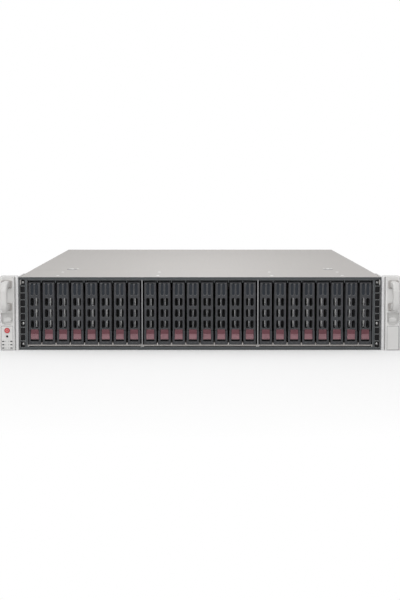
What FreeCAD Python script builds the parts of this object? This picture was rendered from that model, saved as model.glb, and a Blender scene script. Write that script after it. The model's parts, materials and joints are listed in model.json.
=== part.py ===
import FreeCAD, Part
import math
import os

# Two-unit rack shelf for hot-swap disk trays, in millimetres.
# X runs to the right, the front faces -Y and Z points up.
# The origin lies on the underside, below the middle of the whole shelf.

V = FreeCAD.Vector

# How far cutting tools reach past a face, and what counts as no length
over = 1.0
tiny = 1e-6

# Sides of the pins and shafts that lie hidden in their bearings
pin_sides = 12

# Disk drives, a standard size
drive_thickness = 14.4
drive_width = 69.85
drive_length = 100.45

# Trays, standing upright side by side in groups
tray_width = 14.8
tray_gap = 2.4
trays_per_group = 8
group_count = 3
group_gap = 2.35
tray_rail = 3.0
tray_tail = 1.0
tray_setback = 2.0
drive_slack = 0.75
drive_front_gap = 1.0

# Swing handle in the upper part of a tray's front
handle_plate = 1.8
handle_wall = 1.3
handle_depth = 8.0
handle_top_clip = 2.4
hinge_drop = 4.0
hinge_setback = 4.0
hinge_pin_radius = 1.0
hinge_pin_clearance = 0.12
hinge_lug_radius = 1.8
hinge_lug_width = 1.6
slot_width = 4.2
slot_web = 1.32
slot_height = 9.85
slot_bridge = 3.7
slot_rows = 3
slot_margin = 1.15
recess_margin = 2.7
recess_depth = 1.0

# Fixed front below the handle, with the release button
lower_front = 16.6
split_gap = 0.5
sill_height = 3.5
bezel_setback = 10.5
bezel_sheet = 1.5
window_edge = 2.9
window_margin = 3.5
button_width = 9.6
button_height = 11.8
button_lift = 2.7
button_depth = 6.0
button_setback = 0.2
button_travel = 2.0
button_gap = 0.35
button_ridges = 4
ridge_pitch = 1.6
ridge_depth = 0.6

# Sheet metal body
body_depth = 647.0
sheet = 1.2
front_plate = 1.5
front_edge_round = 1.2
side_strip = 10.0
bay_side_gap = 0.95
tray_floor_room = 6.4
tray_roof_room = 5.1
lower_lip = 3.7
upper_lip = 3.1
move_gap = 0.4
flange_height = 8.0
top_plate_depth = 132.0
strip_slots = 10
strip_slot_width = 5.4
strip_slot_bridge = 1.3
strip_slot_margin = 2.55
rail_hole_radius = 2.0
rail_hole_front = 180.0
rail_hole_spacing = 220.0

# Cage around the trays, backplane and sockets
guide_sheet = 1.2
guide_rib = 1.2
guide_rib_height = 2.4
guide_roof_gap = 0.8
socket_gap = 0.5
socket_depth = 8.0
socket_width = 5.5
socket_height = 38.0
socket_lift = 9.0
backplane_sheet = 2.4
backplane_edge = 2.0
backplane_window_width = 28.0
backplane_window_trays = 4
backplane_window_height = 15.0
backplane_window_lift = 56.0

# Rack ears, brackets and pull handles
ear_width = 22.8
ear_rise = 0.8
ear_step = 5.0
ear_depth = 24.0
ear_round = 3.0
ear_inner_round = 1.0
ear_back_wall = 2.0
bracket_sheet = 1.6
bracket_hem = 4.8
bracket_hem_setback = 1.5
bracket_tail = 40.0
ear_groove = 0.5
scoop_wall = 1.65
scoop_bottom = 30.5
scoop_height = 15.0
scoop_depth = 4.0
scoop_round = 5.5
pad_edge = 1.8
pad_lift = 3.8
pad_height = 5.6
pad_clip = 1.5
pad_rise = 1.2
pull_width = 8.0
pull_scoop_gap = 3.0
pull_top_gap = 4.9
pull_reach = 30.0
pull_bar = 8.0
pull_arm = 9.0
pull_outer_round = 12.0
pull_inner_round = 5.0
pull_bevel = 1.8
pull_foot_width = 12.5
pull_foot_edge = 0.6
pull_foot_sheet = 2.0

# Control plate in the left ear, bare plate in the right ear
panel_wall = 1.7
panel_bottom = 0.8
panel_scoop_gap = 1.2
panel_sheet = 1.5
panel_ledge = 0.7
power_drop = 5.4
power_radius = 3.0
power_proud = 0.6
power_travel = 1.0
reset_drop = 12.5
reset_radius = 1.1
reset_sunk = 0.3
reset_travel = 0.7
button_hole_gap = 0.35
button_collar = 0.9
button_collar_sheet = 1.2
button_stem = 0.9
switch_size = 4.4
switch_depth = 4.0
panel_board_sheet = 1.6
light_rows = 3
light_lift = 1.9
light_pitch = 4.05
light_offset = 4.9
light_width = 2.6
light_height = 1.3
light_gap = 0.1

# Main cover and its release tabs
cover_seam = 0.5
cover_travel = 12.0
cover_lip = 3.5
tab_offset = 167.0
tab_setback = 9.5
tab_width = 12.6
tab_depth = 5.6
tab_proud = 0.6
tab_collar = 1.6
tab_collar_sheet = 1.0

# Fan wall and fans
plenum_depth = 88.0
fan_wall_sheet = 1.0
fan_wall_top_gap = 4.0
fan_wall_lap = 3.0
fan_count = 3
fan_pitch = 128.0
fan_depth = 38.0
fan_frame_wall = 2.0
fan_bore_sides = 16
fan_lift = 3.0
fan_top_gap = 3.1
fan_base_radius = 17.0
fan_base_depth = 4.0
fan_spoke = 3.0
rotor_radius = 16.0
rotor_gap = 0.6
rotor_setback = 6.0
rotor_shaft_radius = 2.0
rotor_shaft_clearance = 0.12
rotor_shaft_reach = 3.0
hub_sides = 8
blade_count = 5
blade_tip_gap = 2.5
blade_chord = 18.0
blade_rise = 18.0
blade_camber = 2.0
blade_sheet = 1.5

# Control board with heat sink, external ports
board_width = 130.0
board_length = 110.0
board_sheet = 1.6
board_offset = 120.0
board_gap = 40.0
standoff_height = 8.0
standoff_radius = 3.0
standoff_sides = 4
standoff_inset = 6.0
sink_width = 42.0
sink_length = 46.0
sink_height = 16.0
sink_base = 4.0
sink_fins = 7
sink_fin = 2.0
port_width = 22.0
port_height = 9.0
port_columns = 2
port_rows = 2
port_pitch_x = 34.0
port_pitch_z = 24.0
port_lift = 22.0
port_offset = 50.0
port_wall = 1.0
port_depth = 30.0
port_back = 4.0
port_clearance = 0.2

# Rear panel vents
vent_width = 24.0
vent_pitch = 31.0
vent_height = 30.0
vent_rows = 2
vent_row_gap = 6.0
vent_side_margin = 14.0
vent_port_margin = 22.0
rear_panel_gap = 0.5
rear_flange = 10.0

# Power supplies, one above the other at the right of the back
psu_width = 54.5
psu_top_gap = 3.9
psu_depth = 220.0
psu_proud = 1.0
psu_side_room = 5.0
psu_front_room = 10.0
shelf_sheet = 1.0
loop_width = 6.0
loop_reach = 25.0
loop_margin = 3.0
loop_bar = 6.0
loop_arm = 6.0
loop_outer_round = 8.0
loop_inset = 4.0
grille_inset = 14.0
grille_width = 17.0
grille_slots = 5
grille_slot = 3.4
grille_pitch = 6.2
grille_depth = 3.0
inlet_width = 20.0
inlet_top_gap = 2.5
inlet_inset = 1.5
inlet_lift = 12.5
inlet_wall = 2.4
inlet_depth = 16.0
inlet_floor = 3.0
inlet_pin = 2.0
inlet_pin_height = 4.0
inlet_pin_length = 7.0
inlet_pin_pitch = 7.0
lever_width = 14.0
lever_sheet = 3.0
lever_reach = 15.0
lever_barrel = 1.9
lever_setback = 3.0
lever_lift = 5.0
lever_inset = 4.0
lever_gap = 0.4
lever_pocket_room = 1.6

# Sizes that follow from the ones above
tray_count = trays_per_group * group_count
opening_trays = (1, tray_count)
tray_pitch = tray_width + tray_gap
group_pitch = trays_per_group * tray_pitch + group_gap
tray_height = drive_width + 2 * tray_rail + drive_slack
tray_depth = bezel_setback + bezel_sheet + drive_front_gap + drive_length + tray_tail
tray_row = (tray_count - 1) * tray_pitch + (group_count - 1) * group_gap + tray_width
bay_width = tray_row + 2 * bay_side_gap
body_width = bay_width + 2 * side_strip
body_height = tray_floor_room + tray_height + tray_roof_room
half_bay = bay_width / 2
half_body = body_width / 2
inner_half = half_body - sheet
tray_bottom = tray_floor_room
tray_top = tray_bottom + tray_height
roof_under = body_height - sheet
cover_sheet = sheet - move_gap
cover_under = body_height - cover_sheet

front_y = (ear_step + pull_reach - body_depth - psu_proud - loop_reach) / 2
rear_y = front_y + body_depth
tray_front = front_y + tray_setback
plate_back = front_y + front_plate

hinge_y = tray_front + hinge_setback
hinge_z = tray_top - hinge_drop
slot_clip = slot_width * (1 - math.sqrt(0.5))
sill_top = tray_bottom + sill_height
button_bottom = sill_top + button_lift
button_top = button_bottom + button_height
slot_start = button_top + button_gap + slot_margin
bezel_front = tray_front + bezel_setback
bezel_back = bezel_front + bezel_sheet
tray_back = tray_front + tray_depth

socket_front = tray_back + socket_gap
backplane_front = socket_front + socket_depth
backplane_back = backplane_front + backplane_sheet

ear_front = front_y - ear_step
ear_back = ear_front + ear_depth
ear_height = body_height + ear_rise
scoop_top = scoop_bottom + scoop_height
pull_bottom = scoop_top + pull_scoop_gap
pull_top = ear_height - pull_top_gap
panel_top = scoop_bottom - panel_scoop_gap
power_height = panel_top - power_drop
reset_height = panel_top - reset_drop
light_bottom = panel_bottom + light_lift
ear_inner = half_body + bracket_hem + ear_groove
ear_outer = half_body + ear_width
ear_middle = (ear_inner + ear_outer) / 2
panel_half = (ear_outer - ear_inner) / 2 - panel_wall
panel_back = ear_front + panel_sheet
cavity_half = panel_half - panel_ledge
cavity_back = ear_back - ear_back_wall
panel_board_front = cavity_back - panel_board_sheet
switch_front = panel_board_front - switch_depth

cover_front = front_y + top_plate_depth + cover_seam
cover_flange_outer = inner_half - move_gap
cover_flange_inner = cover_flange_outer - cover_sheet
tab_y = cover_front + tab_setback

fan_wall_front = backplane_back + plenum_depth
fan_front = fan_wall_front + fan_wall_sheet
fan_back = fan_front + fan_depth
fan_bottom = sheet + fan_lift
fan_size = cover_under - fan_top_gap - fan_bottom
fan_middle = fan_bottom + fan_size / 2
fan_bore = fan_size / 2 - fan_frame_wall
blade_tip = fan_bore - blade_tip_gap
fan_base_front = fan_back - fan_base_depth

psu_right = inner_half - psu_side_room
psu_left = psu_right - psu_width
psu_back = rear_y + psu_proud
psu_front = rear_y - psu_depth
psu_floor = sheet + move_gap
psu_height = (cover_under - psu_top_gap - shelf_sheet - 2 * move_gap - psu_floor) / 2
inlet_height = psu_height - inlet_lift - inlet_top_gap
shelf_bottom = psu_floor + psu_height + move_gap
psu_upper_floor = shelf_bottom + shelf_sheet + move_gap
partition_right = psu_left - move_gap
partition_left = partition_right - shelf_sheet
rear_panel_front = rear_y - sheet
rear_panel_top = cover_under - rear_panel_gap - move_gap


# Helpers that make plain solids

def block(x0, x1, y0, y1, z0, z1):
    return Part.makeBox(x1 - x0, y1 - y0, z1 - z0, V(x0, y0, z0))


def rounded_face(corners, place):
    """Flat face with straight sides. A corner is (a, b), or (a, b, radius) where it is rounded."""
    points = [place(corner[0], corner[1]) for corner in corners]
    runs = []
    for index, corner in enumerate(corners):
        here = points[index]
        if len(corner) == 2:
            runs.append((here, None, here))
            continue
        radius = corner[2]
        to_last = (points[index - 1] - here).normalize()
        to_next = (points[(index + 1) % len(points)] - here).normalize()
        half_turn = to_last.getAngle(to_next) / 2
        reach = radius / math.tan(half_turn)
        inward = (to_last + to_next).normalize()
        middle = here + inward * (radius / math.sin(half_turn) - radius)
        runs.append((here + to_last * reach, middle, here + to_next * reach))
    edges = []
    for index, (start, middle, end) in enumerate(runs):
        last_end = runs[index - 1][2]
        if last_end.distanceToPoint(start) > tiny:
            edges.append(Part.makeLine(last_end, start))
        if middle is not None:
            edges.append(Part.Arc(start, middle, end).toShape())
    return Part.Face(Part.Wire(edges))


def prism_x(corners, x0, x1):
    """Outline of (y, z) corners, pushed from x0 to x1."""
    return rounded_face(corners, lambda y, z: V(x0, y, z)).extrude(V(x1 - x0, 0, 0))


def prism_y(corners, y0, y1):
    """Outline of (x, z) corners, pushed from y0 to y1."""
    return rounded_face(corners, lambda x, z: V(x, y0, z)).extrude(V(0, y1 - y0, 0))


def prism_z(corners, z0, z1):
    """Outline of (x, y) corners, pushed from z0 to z1."""
    return rounded_face(corners, lambda x, y: V(x, y, z0)).extrude(V(0, 0, z1 - z0))



def rod_y(x, z, radius, y0, y1):
    return Part.makeCylinder(radius, y1 - y0, V(x, y0, z), V(0, 1, 0))


def ring_corners(a, b, radius, sides):
    """Corners of a regular outline with flat sides."""
    turn = 2 * math.pi / sides
    return [(a + radius * math.cos(turn * side), b + radius * math.sin(turn * side)) for side in range(sides)]


def pin_x(y, z, radius, x0, x1):
    """Pin with flat sides, inside the circle of its radius."""
    return prism_x(ring_corners(y, z, radius, pin_sides), x0, x1)


def pin_y(x, z, radius, y0, y1):
    return prism_y(ring_corners(x, z, radius, pin_sides), y0, y1)


def bearing_radius(pin_radius, clearance):
    """Corner radius of a flat-sided hole in which the pin keeps its clearance while it turns."""
    return (pin_radius + clearance) / math.cos(math.pi / pin_sides)


def joined(first, *others):
    return first.fuse(list(others)).removeSplitter()


def carved(solid, *tools):
    return solid.cut(list(tools))


def mirrored(solid):
    return solid.mirror(V(0, 0, 0), V(1, 0, 0))


def slot_outline(x0, x1, z0, z1, clip):
    """Slot or pad. Its round ends are drawn with clipped corners, or square where clip is 0."""
    if clip == 0:
        return [(x0, z0), (x1, z0), (x1, z1), (x0, z1)]
    return [(x0 + clip, z0), (x1 - clip, z0), (x1, z0 + clip), (x1, z1 - clip),
            (x1 - clip, z1), (x0 + clip, z1), (x0, z1 - clip), (x0, z0 + clip)]


def loop_outline(face, out, bottom, top, reach, bar, arm, outer_round, inner_round):
    """Side view of a D-shaped handle on a face. Its inner corners are sharp where inner_round is empty."""
    tip = face + out * reach
    inside = face + out * (reach - bar)
    return [(face, bottom), (tip, bottom, outer_round), (tip, top, outer_round), (face, top),
            (face, top - arm), (inside, top - arm, *inner_round),
            (inside, bottom + arm, *inner_round), (face, bottom + arm)]


def save(node, *shapes):
    solids = [solid for shape in shapes for solid in shape.Solids]
    for solid in solids:
        if not solid.isValid() or solid.Volume <= 0:
            raise ValueError("bad solid in " + node)
    Part.makeCompound(solids).exportStep("parts/" + node + ".step")
    print(node, len(solids), round(sum(solid.Volume for solid in solids), 1))


# Trays

def tray_middle(number):
    group, place = divmod(number - 1, trays_per_group)
    group_middle = (group - (group_count - 1) / 2) * group_pitch
    return group_middle + (place - (trays_per_group - 1) / 2) * tray_pitch


def handle_slots(middle, clip):
    """Through slots in two columns, with a blind recess of the same width above each column."""
    tools = []
    for side in (-1, 1):
        slot_middle = middle + side * (slot_width + slot_web) / 2
        left = slot_middle - slot_width / 2
        right = slot_middle + slot_width / 2
        bottom = slot_start
        for _ in range(slot_rows):
            outline = slot_outline(left, right, bottom, bottom + slot_height, clip)
            tools.append(prism_y(outline, tray_front - over, tray_front + handle_plate + over))
            bottom += slot_height + slot_bridge
        outline = slot_outline(left, right, bottom, tray_top - recess_margin, clip)
        tools.append(prism_y(outline, tray_front - over, tray_front + recess_depth))
    return tools


def handle_foot(opens):
    """Lower end of a handle. In the trays that stay closed it ends level, just above the button."""
    return tray_bottom + lower_front + split_gap if opens else button_top + button_gap


def swing_handle(middle, opens):
    """Channel with a slotted front plate. It turns about a pin near its upper end."""
    left = middle - tray_width / 2
    right = middle + tray_width / 2
    back = tray_front + handle_depth
    plate = tray_front + handle_plate
    channel = [(left, tray_front), (right, tray_front), (right, back), (right - handle_wall, back),
               (right - handle_wall, plate), (left + handle_wall, plate),
               (left + handle_wall, back), (left, back)]
    notch_half = button_width / 2 + button_gap
    top_corner = prism_x([(tray_front, tray_top - handle_top_clip), (tray_front, tray_top),
                          (tray_front + handle_top_clip, tray_top)], left, right)
    tools = handle_slots(middle, slot_clip if opens else 0) + [top_corner]
    if opens:
        tools.append(block(middle - notch_half, middle + notch_half, tray_front - over, back + over,
                           handle_foot(opens) - over, button_top + button_gap))
        bore = bearing_radius(hinge_pin_radius, hinge_pin_clearance)
        tools.append(pin_x(hinge_y, hinge_z, bore, left, right))
    return carved(prism_z(channel, handle_foot(opens), tray_top), *tools)


def hinge_lugs(middle):
    """Two lugs, each with a stub pin that the handle turns on."""
    pieces = []
    for side in (-1, 1):
        outer = side * (tray_width / 2 - handle_wall - split_gap)
        inner = outer - side * hinge_lug_width
        tip = side * (tray_width / 2 - split_gap)
        pieces.append(pin_x(hinge_y, hinge_z, hinge_pin_radius,
                            middle + min(outer, tip), middle + max(outer, tip)))
        x0 = middle + min(outer, inner)
        x1 = middle + max(outer, inner)
        nose = hinge_y - hinge_lug_radius
        low = hinge_z - hinge_lug_radius
        high = hinge_z + hinge_lug_radius
        clip = hinge_lug_radius * (2 - math.sqrt(2))
        pieces.append(prism_x([(nose, low + clip), (nose + clip, low), (bezel_back, low),
                               (bezel_back, high), (nose + clip, high), (nose, high - clip)], x0, x1))
    return pieces


def tray_frame(middle, opens):
    """Two rails on a bezel: open between the rails, with a pocket for the release button."""
    left = middle - tray_width / 2
    right = middle + tray_width / 2
    front_top = handle_foot(opens) - split_gap
    outline = [(tray_front, tray_bottom), (tray_back, tray_bottom),
               (tray_back, tray_bottom + tray_rail), (bezel_back, tray_bottom + tray_rail),
               (bezel_back, tray_top - tray_rail), (tray_back, tray_top - tray_rail),
               (tray_back, tray_top), (bezel_front, tray_top),
               (bezel_front, front_top), (tray_front, front_top)]
    window = block(left + window_edge, right - window_edge, bezel_front - over, bezel_back + over,
                   front_top + window_margin, tray_top - tray_rail - window_margin)
    pocket_half = button_width / 2 + button_gap
    pocket_back = tray_front + button_setback + button_depth + button_travel + move_gap
    pocket = block(middle - pocket_half, middle + pocket_half, tray_front - over, pocket_back,
                   sill_top, front_top + over)
    frame = carved(prism_x(outline, left, right), pocket)
    return joined(carved(frame, window), *hinge_lugs(middle)) if opens else frame


def release_button(middle, ridges):
    """Push button, in the trays that open with saw-tooth grip ridges in its lower part."""
    face = tray_front + button_setback
    back = face + button_depth
    outline = []
    for ridge in range(ridges):
        foot = button_bottom + ridge * ridge_pitch
        outline += [(face, foot), (face + ridge_depth, foot + ridge_pitch)]
    ridges_top = button_bottom + ridges * ridge_pitch
    outline += [(face, ridges_top), (face, button_top), (back, button_top), (back, button_bottom)]
    return prism_x(outline, middle - button_width / 2, middle + button_width / 2)


def disk_drive(middle):
    start = bezel_back + drive_front_gap
    bottom = tray_bottom + tray_rail
    return block(middle - drive_thickness / 2, middle + drive_thickness / 2,
                 start, start + drive_length, bottom, bottom + drive_width)


def make_trays():
    for number in range(1, tray_count + 1):
        middle = tray_middle(number)
        opens = number in opening_trays
        frame = tray_frame(middle, opens)
        handle = swing_handle(middle, opens)
        button = release_button(middle, button_ridges if opens else 0)
        mark = "%02d" % number
        if opens:
            save("drive_tray_" + mark, frame, disk_drive(middle))
            save("tray_handle_" + mark, handle)
            save("tray_button_" + mark, button)
        else:
            save("drive_tray_" + mark, frame, disk_drive(middle), handle, button)


# Sheet metal body

def chassis_tub():
    """Floor and both sides, folded from one sheet."""
    outline = [(-half_body, 0), (half_body, 0), (half_body, roof_under), (inner_half, roof_under),
               (inner_half, sheet), (-inner_half, sheet), (-inner_half, roof_under),
               (-half_body, roof_under)]
    tub = prism_y(outline, plate_back, rear_y)
    holes = []
    for along in (rail_hole_front, rail_hole_front + rail_hole_spacing):
        holes.append(Part.makeCylinder(rail_hole_radius, 2 * (half_body + over),
                                       V(-half_body - over, front_y + along, body_height / 2), V(1, 0, 0)))
    return carved(tub, *holes)


def front_frame():
    """Dark face plate: an opening for the trays and a column of vent slots at each side."""
    back = plate_back
    edge = [(front_y, 0, front_edge_round), (back, 0), (back, body_height),
            (front_y, body_height, front_edge_round)]
    plate = prism_x(edge, -half_body, half_body)
    opening = block(-half_bay, half_bay, front_y - over, back + over, lower_lip, body_height - upper_lip)
    tools = [opening]
    pitch = (body_height - 2 * strip_slot_margin) / strip_slots
    for side in (-1, 1):
        middle = side * (half_bay + half_body) / 2
        for row in range(strip_slots):
            bottom = strip_slot_margin + row * pitch + strip_slot_bridge / 2
            tools.append(block(middle - strip_slot_width / 2, middle + strip_slot_width / 2,
                               front_y - over, back + over, bottom, bottom + pitch - strip_slot_bridge))
    return carved(plate, *tools)


def front_top_plate():
    """Fixed part of the roof, with a flange down inside each side."""
    flange = inner_half - sheet
    foot = roof_under - flange_height
    outline = [(-half_body, roof_under), (-half_body, body_height), (half_body, body_height),
               (half_body, roof_under), (inner_half, roof_under), (inner_half, foot), (flange, foot),
               (flange, roof_under), (-flange, roof_under), (-flange, foot), (-inner_half, foot),
               (-inner_half, roof_under)]
    return prism_y(outline, plate_back, front_y + top_plate_depth)


def rear_panel():
    """Back wall with openings for the power supplies and ports, and with upright vents."""
    plate = block(-inner_half, inner_half, rear_panel_front, rear_y, sheet, rear_panel_top)
    fold = block(-cover_flange_inner + move_gap, cover_flange_inner - move_gap,
                 rear_panel_front - rear_flange, rear_panel_front,
                 rear_panel_top - sheet, rear_panel_top)
    front = rear_panel_front - rear_flange - over
    back = rear_y + over
    tools = [block(partition_right, psu_right + move_gap, front, back,
                   sheet - over, psu_upper_floor + psu_height + move_gap)]
    for x, z in port_places():
        half_width = port_width / 2 + port_clearance
        half_height = port_height / 2 + port_clearance
        tools.append(block(x - half_width, x + half_width, rear_panel_front - over, back,
                           z - half_height, z + half_height))
    left = -inner_half + vent_side_margin
    right = port_places()[0][0] - port_width / 2 - vent_port_margin
    columns = int((right - left - vent_width) / vent_pitch) + 1
    field = vent_rows * vent_height + (vent_rows - 1) * vent_row_gap
    for row in range(vent_rows):
        bottom = (body_height - field) / 2 + row * (vent_height + vent_row_gap)
        for column in range(columns):
            x = left + column * vent_pitch
            tools.append(block(x, x + vent_width, rear_panel_front - over, back,
                               bottom, bottom + vent_height))
    return carved(joined(plate, fold), *tools)


def main_cover():
    """Long sliding cover: shallow flanges inside the sides and a lip over the back."""
    back = rear_y + move_gap + cover_sheet
    roof = block(-half_body, half_body, cover_front, back, cover_under, body_height)
    lip = block(-half_body, half_body, back - cover_sheet, back, body_height - cover_lip, cover_under)
    flange_back = rear_panel_front - rear_flange - cover_travel - move_gap
    flanges = []
    for side in (-1, 1):
        x0 = min(side * cover_flange_outer, side * cover_flange_inner)
        flanges.append(block(x0, x0 + cover_sheet, cover_front, flange_back,
                             cover_under - flange_height, cover_under))
    windows = []
    for side in (-1, 1):
        half_width = tab_width / 2 + move_gap
        half_depth = tab_depth / 2 + move_gap
        windows.append(block(side * tab_offset - half_width, side * tab_offset + half_width,
                             tab_y - half_depth, tab_y + half_depth,
                             cover_under - over, body_height + over))
    return carved(joined(roof, lip, *flanges), *windows)


def cover_tab(side):
    """Push tab of the cover, with a collar that stays below the sheet."""
    x = side * tab_offset
    collar_top = cover_under - move_gap
    cap = block(x - tab_width / 2, x + tab_width / 2, tab_y - tab_depth / 2, tab_y + tab_depth / 2,
                collar_top, body_height + tab_proud)
    half_width = tab_width / 2 + tab_collar
    half_depth = tab_depth / 2 + tab_collar
    collar = block(x - half_width, x + half_width, tab_y - half_depth, tab_y + half_depth,
                   collar_top - tab_collar_sheet, collar_top)
    return joined(cap, collar)


# Cage, backplane and sockets

def group_edges(group):
    """Left and right ends of the space between two dividers, or a divider and a cage wall."""
    middle = (group - (group_count - 1) / 2) * group_pitch
    left = -half_bay if group == 0 else middle - group_pitch / 2 + guide_sheet / 2
    right = half_bay if group == group_count - 1 else middle + group_pitch / 2 - guide_sheet / 2
    return left, right


def tray_guide(group, seat, plate, up):
    """Folded guide for one group of trays: ribs between the trays and a leg at each end."""
    left, right = group_edges(group)
    face = plate + up * guide_sheet
    rib_top = face + up * guide_rib_height
    outline = [(left, seat), (left, face)]
    first = group * trays_per_group + 1
    for number in range(first, first + trays_per_group - 1):
        rib = (tray_middle(number) + tray_middle(number + 1)) / 2
        outline += [(rib - guide_rib / 2, face), (rib - guide_rib / 2, rib_top),
                    (rib + guide_rib / 2, rib_top), (rib + guide_rib / 2, face)]
    outline += [(right, face), (right, seat), (right - guide_sheet, seat), (right - guide_sheet, plate),
                (left + guide_sheet, plate), (left + guide_sheet, seat)]
    return prism_y(outline, plate_back, backplane_front)


def drive_cage():
    """Guides below and above the trays, two dividers between the groups and two outer walls."""
    pieces = []
    for group in range(group_count):
        pieces.append(tray_guide(group, sheet, tray_bottom - move_gap - guide_sheet, 1))
        pieces.append(tray_guide(group, roof_under, tray_top + guide_roof_gap + guide_sheet, -1))
    walls = [group_edges(group)[1] for group in range(group_count)]
    for wall in [-half_bay - guide_sheet] + walls:
        pieces.append(block(wall, wall + guide_sheet, plate_back, backplane_front, sheet, roof_under))
    return pieces


def drive_backplane():
    """Circuit board behind the drives, with a row of air windows."""
    half = half_bay + backplane_edge
    board = block(-half, half, backplane_front, backplane_back, sheet, tray_top)
    windows = []
    bottom = tray_bottom + backplane_window_lift
    for number in range(1, tray_count, backplane_window_trays):
        middle = (tray_middle(number) + tray_middle(number + backplane_window_trays - 1)) / 2
        windows.append(block(middle - backplane_window_width / 2, middle + backplane_window_width / 2,
                             backplane_front - over, backplane_back + over,
                             bottom, bottom + backplane_window_height))
    return carved(board, *windows)


def backplane_sockets():
    sockets = []
    bottom = tray_bottom + socket_lift
    for number in range(1, tray_count + 1):
        middle = tray_middle(number)
        sockets.append(block(middle - socket_width / 2, middle + socket_width / 2,
                             socket_front, backplane_front, bottom, bottom + socket_height))
    return sockets


# Rack ears

def ear_bracket():
    """Steel strip: along the side, round a hem at the front, then out behind the ear."""
    hem_front = ear_front + bracket_hem_setback
    outer = half_body + bracket_hem
    flange_back = ear_back + bracket_sheet
    end = ear_outer - ear_inner_round
    outline = [(half_body, ear_back + bracket_tail), (half_body, hem_front, bracket_hem / 2),
               (outer, hem_front, bracket_hem / 2), (outer, ear_back), (end, ear_back),
               (end, flange_back), (outer - bracket_sheet, flange_back),
               (outer - bracket_sheet, hem_front + bracket_sheet),
               (half_body + bracket_sheet, hem_front + bracket_sheet),
               (half_body + bracket_sheet, ear_back + bracket_tail)]
    return prism_z(outline, 0, ear_height)


def ear_housing(hollow):
    """Moulded ear: scoop for the fingertips with a raised pad, and a seat for the plate below."""
    outline = [(ear_inner, ear_front, ear_inner_round), (ear_outer, ear_front, ear_round),
               (ear_outer, ear_back), (ear_inner, ear_back)]
    ear = prism_z(outline, 0, ear_height)
    scoop_half = (ear_outer - ear_inner) / 2 - scoop_wall
    scoop_floor = ear_front + scoop_depth
    scoop = prism_y([(ear_middle - scoop_half, scoop_bottom, scoop_round),
                     (ear_middle + scoop_half, scoop_bottom, scoop_round),
                     (ear_middle + scoop_half, scoop_top), (ear_middle - scoop_half, scoop_top)],
                    ear_front - over, scoop_floor)
    pad_half = scoop_half - pad_edge
    pad_bottom = scoop_bottom + pad_lift
    pad = prism_y(slot_outline(ear_middle - pad_half, ear_middle + pad_half,
                               pad_bottom, pad_bottom + pad_height, pad_clip),
                  scoop_floor - pad_rise, scoop_floor + over)
    seat = block(ear_middle - panel_half, ear_middle + panel_half, ear_front - over, panel_back,
                 panel_bottom, panel_top)
    tools = [seat]
    if hollow:
        tools.append(block(ear_middle - cavity_half, ear_middle + cavity_half, ear_front, cavity_back,
                           panel_bottom + panel_ledge, panel_top - panel_ledge))
    return carved(joined(carved(ear, scoop), pad), *tools)


def pull_handle():
    """D-shaped handle with bevelled outer edges, on two feet."""
    left = ear_middle - pull_width / 2
    right = ear_middle + pull_width / 2
    tip = ear_front - pull_reach
    outline = loop_outline(ear_front, -1, pull_bottom, pull_top, pull_reach, pull_bar, pull_arm,
                           pull_outer_round, (pull_inner_round,))
    loop = prism_x(outline, left, right)
    soft = []
    for edge in loop.Edges:
        box = edge.BoundBox
        outside = box.ZMin < pull_bottom + tiny or box.ZMax > pull_top - tiny or box.YMin < tip + tiny
        if outside and box.XLength < tiny and box.YMin < ear_front - over:
            soft.append(edge)
    loop = loop.makeChamfer(pull_bevel, soft)
    feet = []
    for bottom in (pull_bottom, pull_top - pull_arm):
        feet.append(block(ear_middle - pull_foot_width / 2, ear_middle + pull_foot_width / 2,
                          ear_front - pull_foot_sheet, ear_front,
                          bottom - pull_foot_edge, bottom + pull_arm + pull_foot_edge))
    return joined(loop, *feet)


# Control plate and what lies behind it, in the left ear

def light_places():
    return [(-ear_middle + side * light_offset, light_bottom + row * light_pitch)
            for row in range(light_rows) for side in (-1, 1)]


def ear_plate(middle):
    return block(middle - panel_half, middle + panel_half, ear_front, panel_back,
                 panel_bottom, panel_top)


def control_plate():
    tools = []
    for height, radius in ((power_height, power_radius), (reset_height, reset_radius)):
        tools.append(rod_y(-ear_middle, height, radius + button_hole_gap,
                           ear_front - over, panel_back + over))
    for x, z in light_places():
        half_width = light_width / 2 + light_gap
        half_height = light_height / 2 + light_gap
        tools.append(block(x - half_width, x + half_width, ear_front - over, panel_back + over,
                           z - half_height, z + half_height))
    return carved(ear_plate(-ear_middle), *tools)


def status_light_pipes():
    return [block(x - light_width / 2, x + light_width / 2, ear_front, panel_board_front,
                  z - light_height / 2, z + light_height / 2) for x, z in light_places()]


def control_panel_board():
    """Small circuit board on the back of the ear's cavity, with a switch behind each button."""
    board = block(-ear_middle - cavity_half, -ear_middle + cavity_half, panel_board_front, cavity_back,
                  panel_bottom + panel_ledge, panel_top - panel_ledge)
    switches = []
    for z in (power_height, reset_height):
        switches.append(block(-ear_middle - switch_size / 2, -ear_middle + switch_size / 2,
                              switch_front, panel_board_front, z - switch_size / 2, z + switch_size / 2))
    return joined(board, *switches)


def panel_button(height, radius, start, travel):
    """Round button: cap through the plate, square collar behind it and a stem towards its switch."""
    collar_front = panel_back + move_gap
    collar_back = collar_front + button_collar_sheet
    cap = rod_y(-ear_middle, height, radius, start, collar_front)
    pieces = []
    for half, front, back in ((radius + button_collar, collar_front, collar_back),
                              (button_stem, collar_back, switch_front - travel - move_gap)):
        pieces.append(block(-ear_middle - half, -ear_middle + half, front, back,
                            height - half, height + half))
    return joined(cap, *pieces)


# Fan wall and fans

def fan_middles():
    return [(index - (fan_count - 1) / 2) * fan_pitch for index in range(fan_count)]


def fan_wall():
    half = cover_flange_inner - move_gap
    wall = block(-half, half, fan_wall_front, fan_front, sheet, cover_under - fan_wall_top_gap)
    reach = fan_size / 2 - fan_wall_lap
    windows = [block(x - reach, x + reach, fan_wall_front - over, fan_front + over,
                     fan_middle - reach, fan_middle + reach) for x in fan_middles()]
    return carved(wall, *windows)


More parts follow.
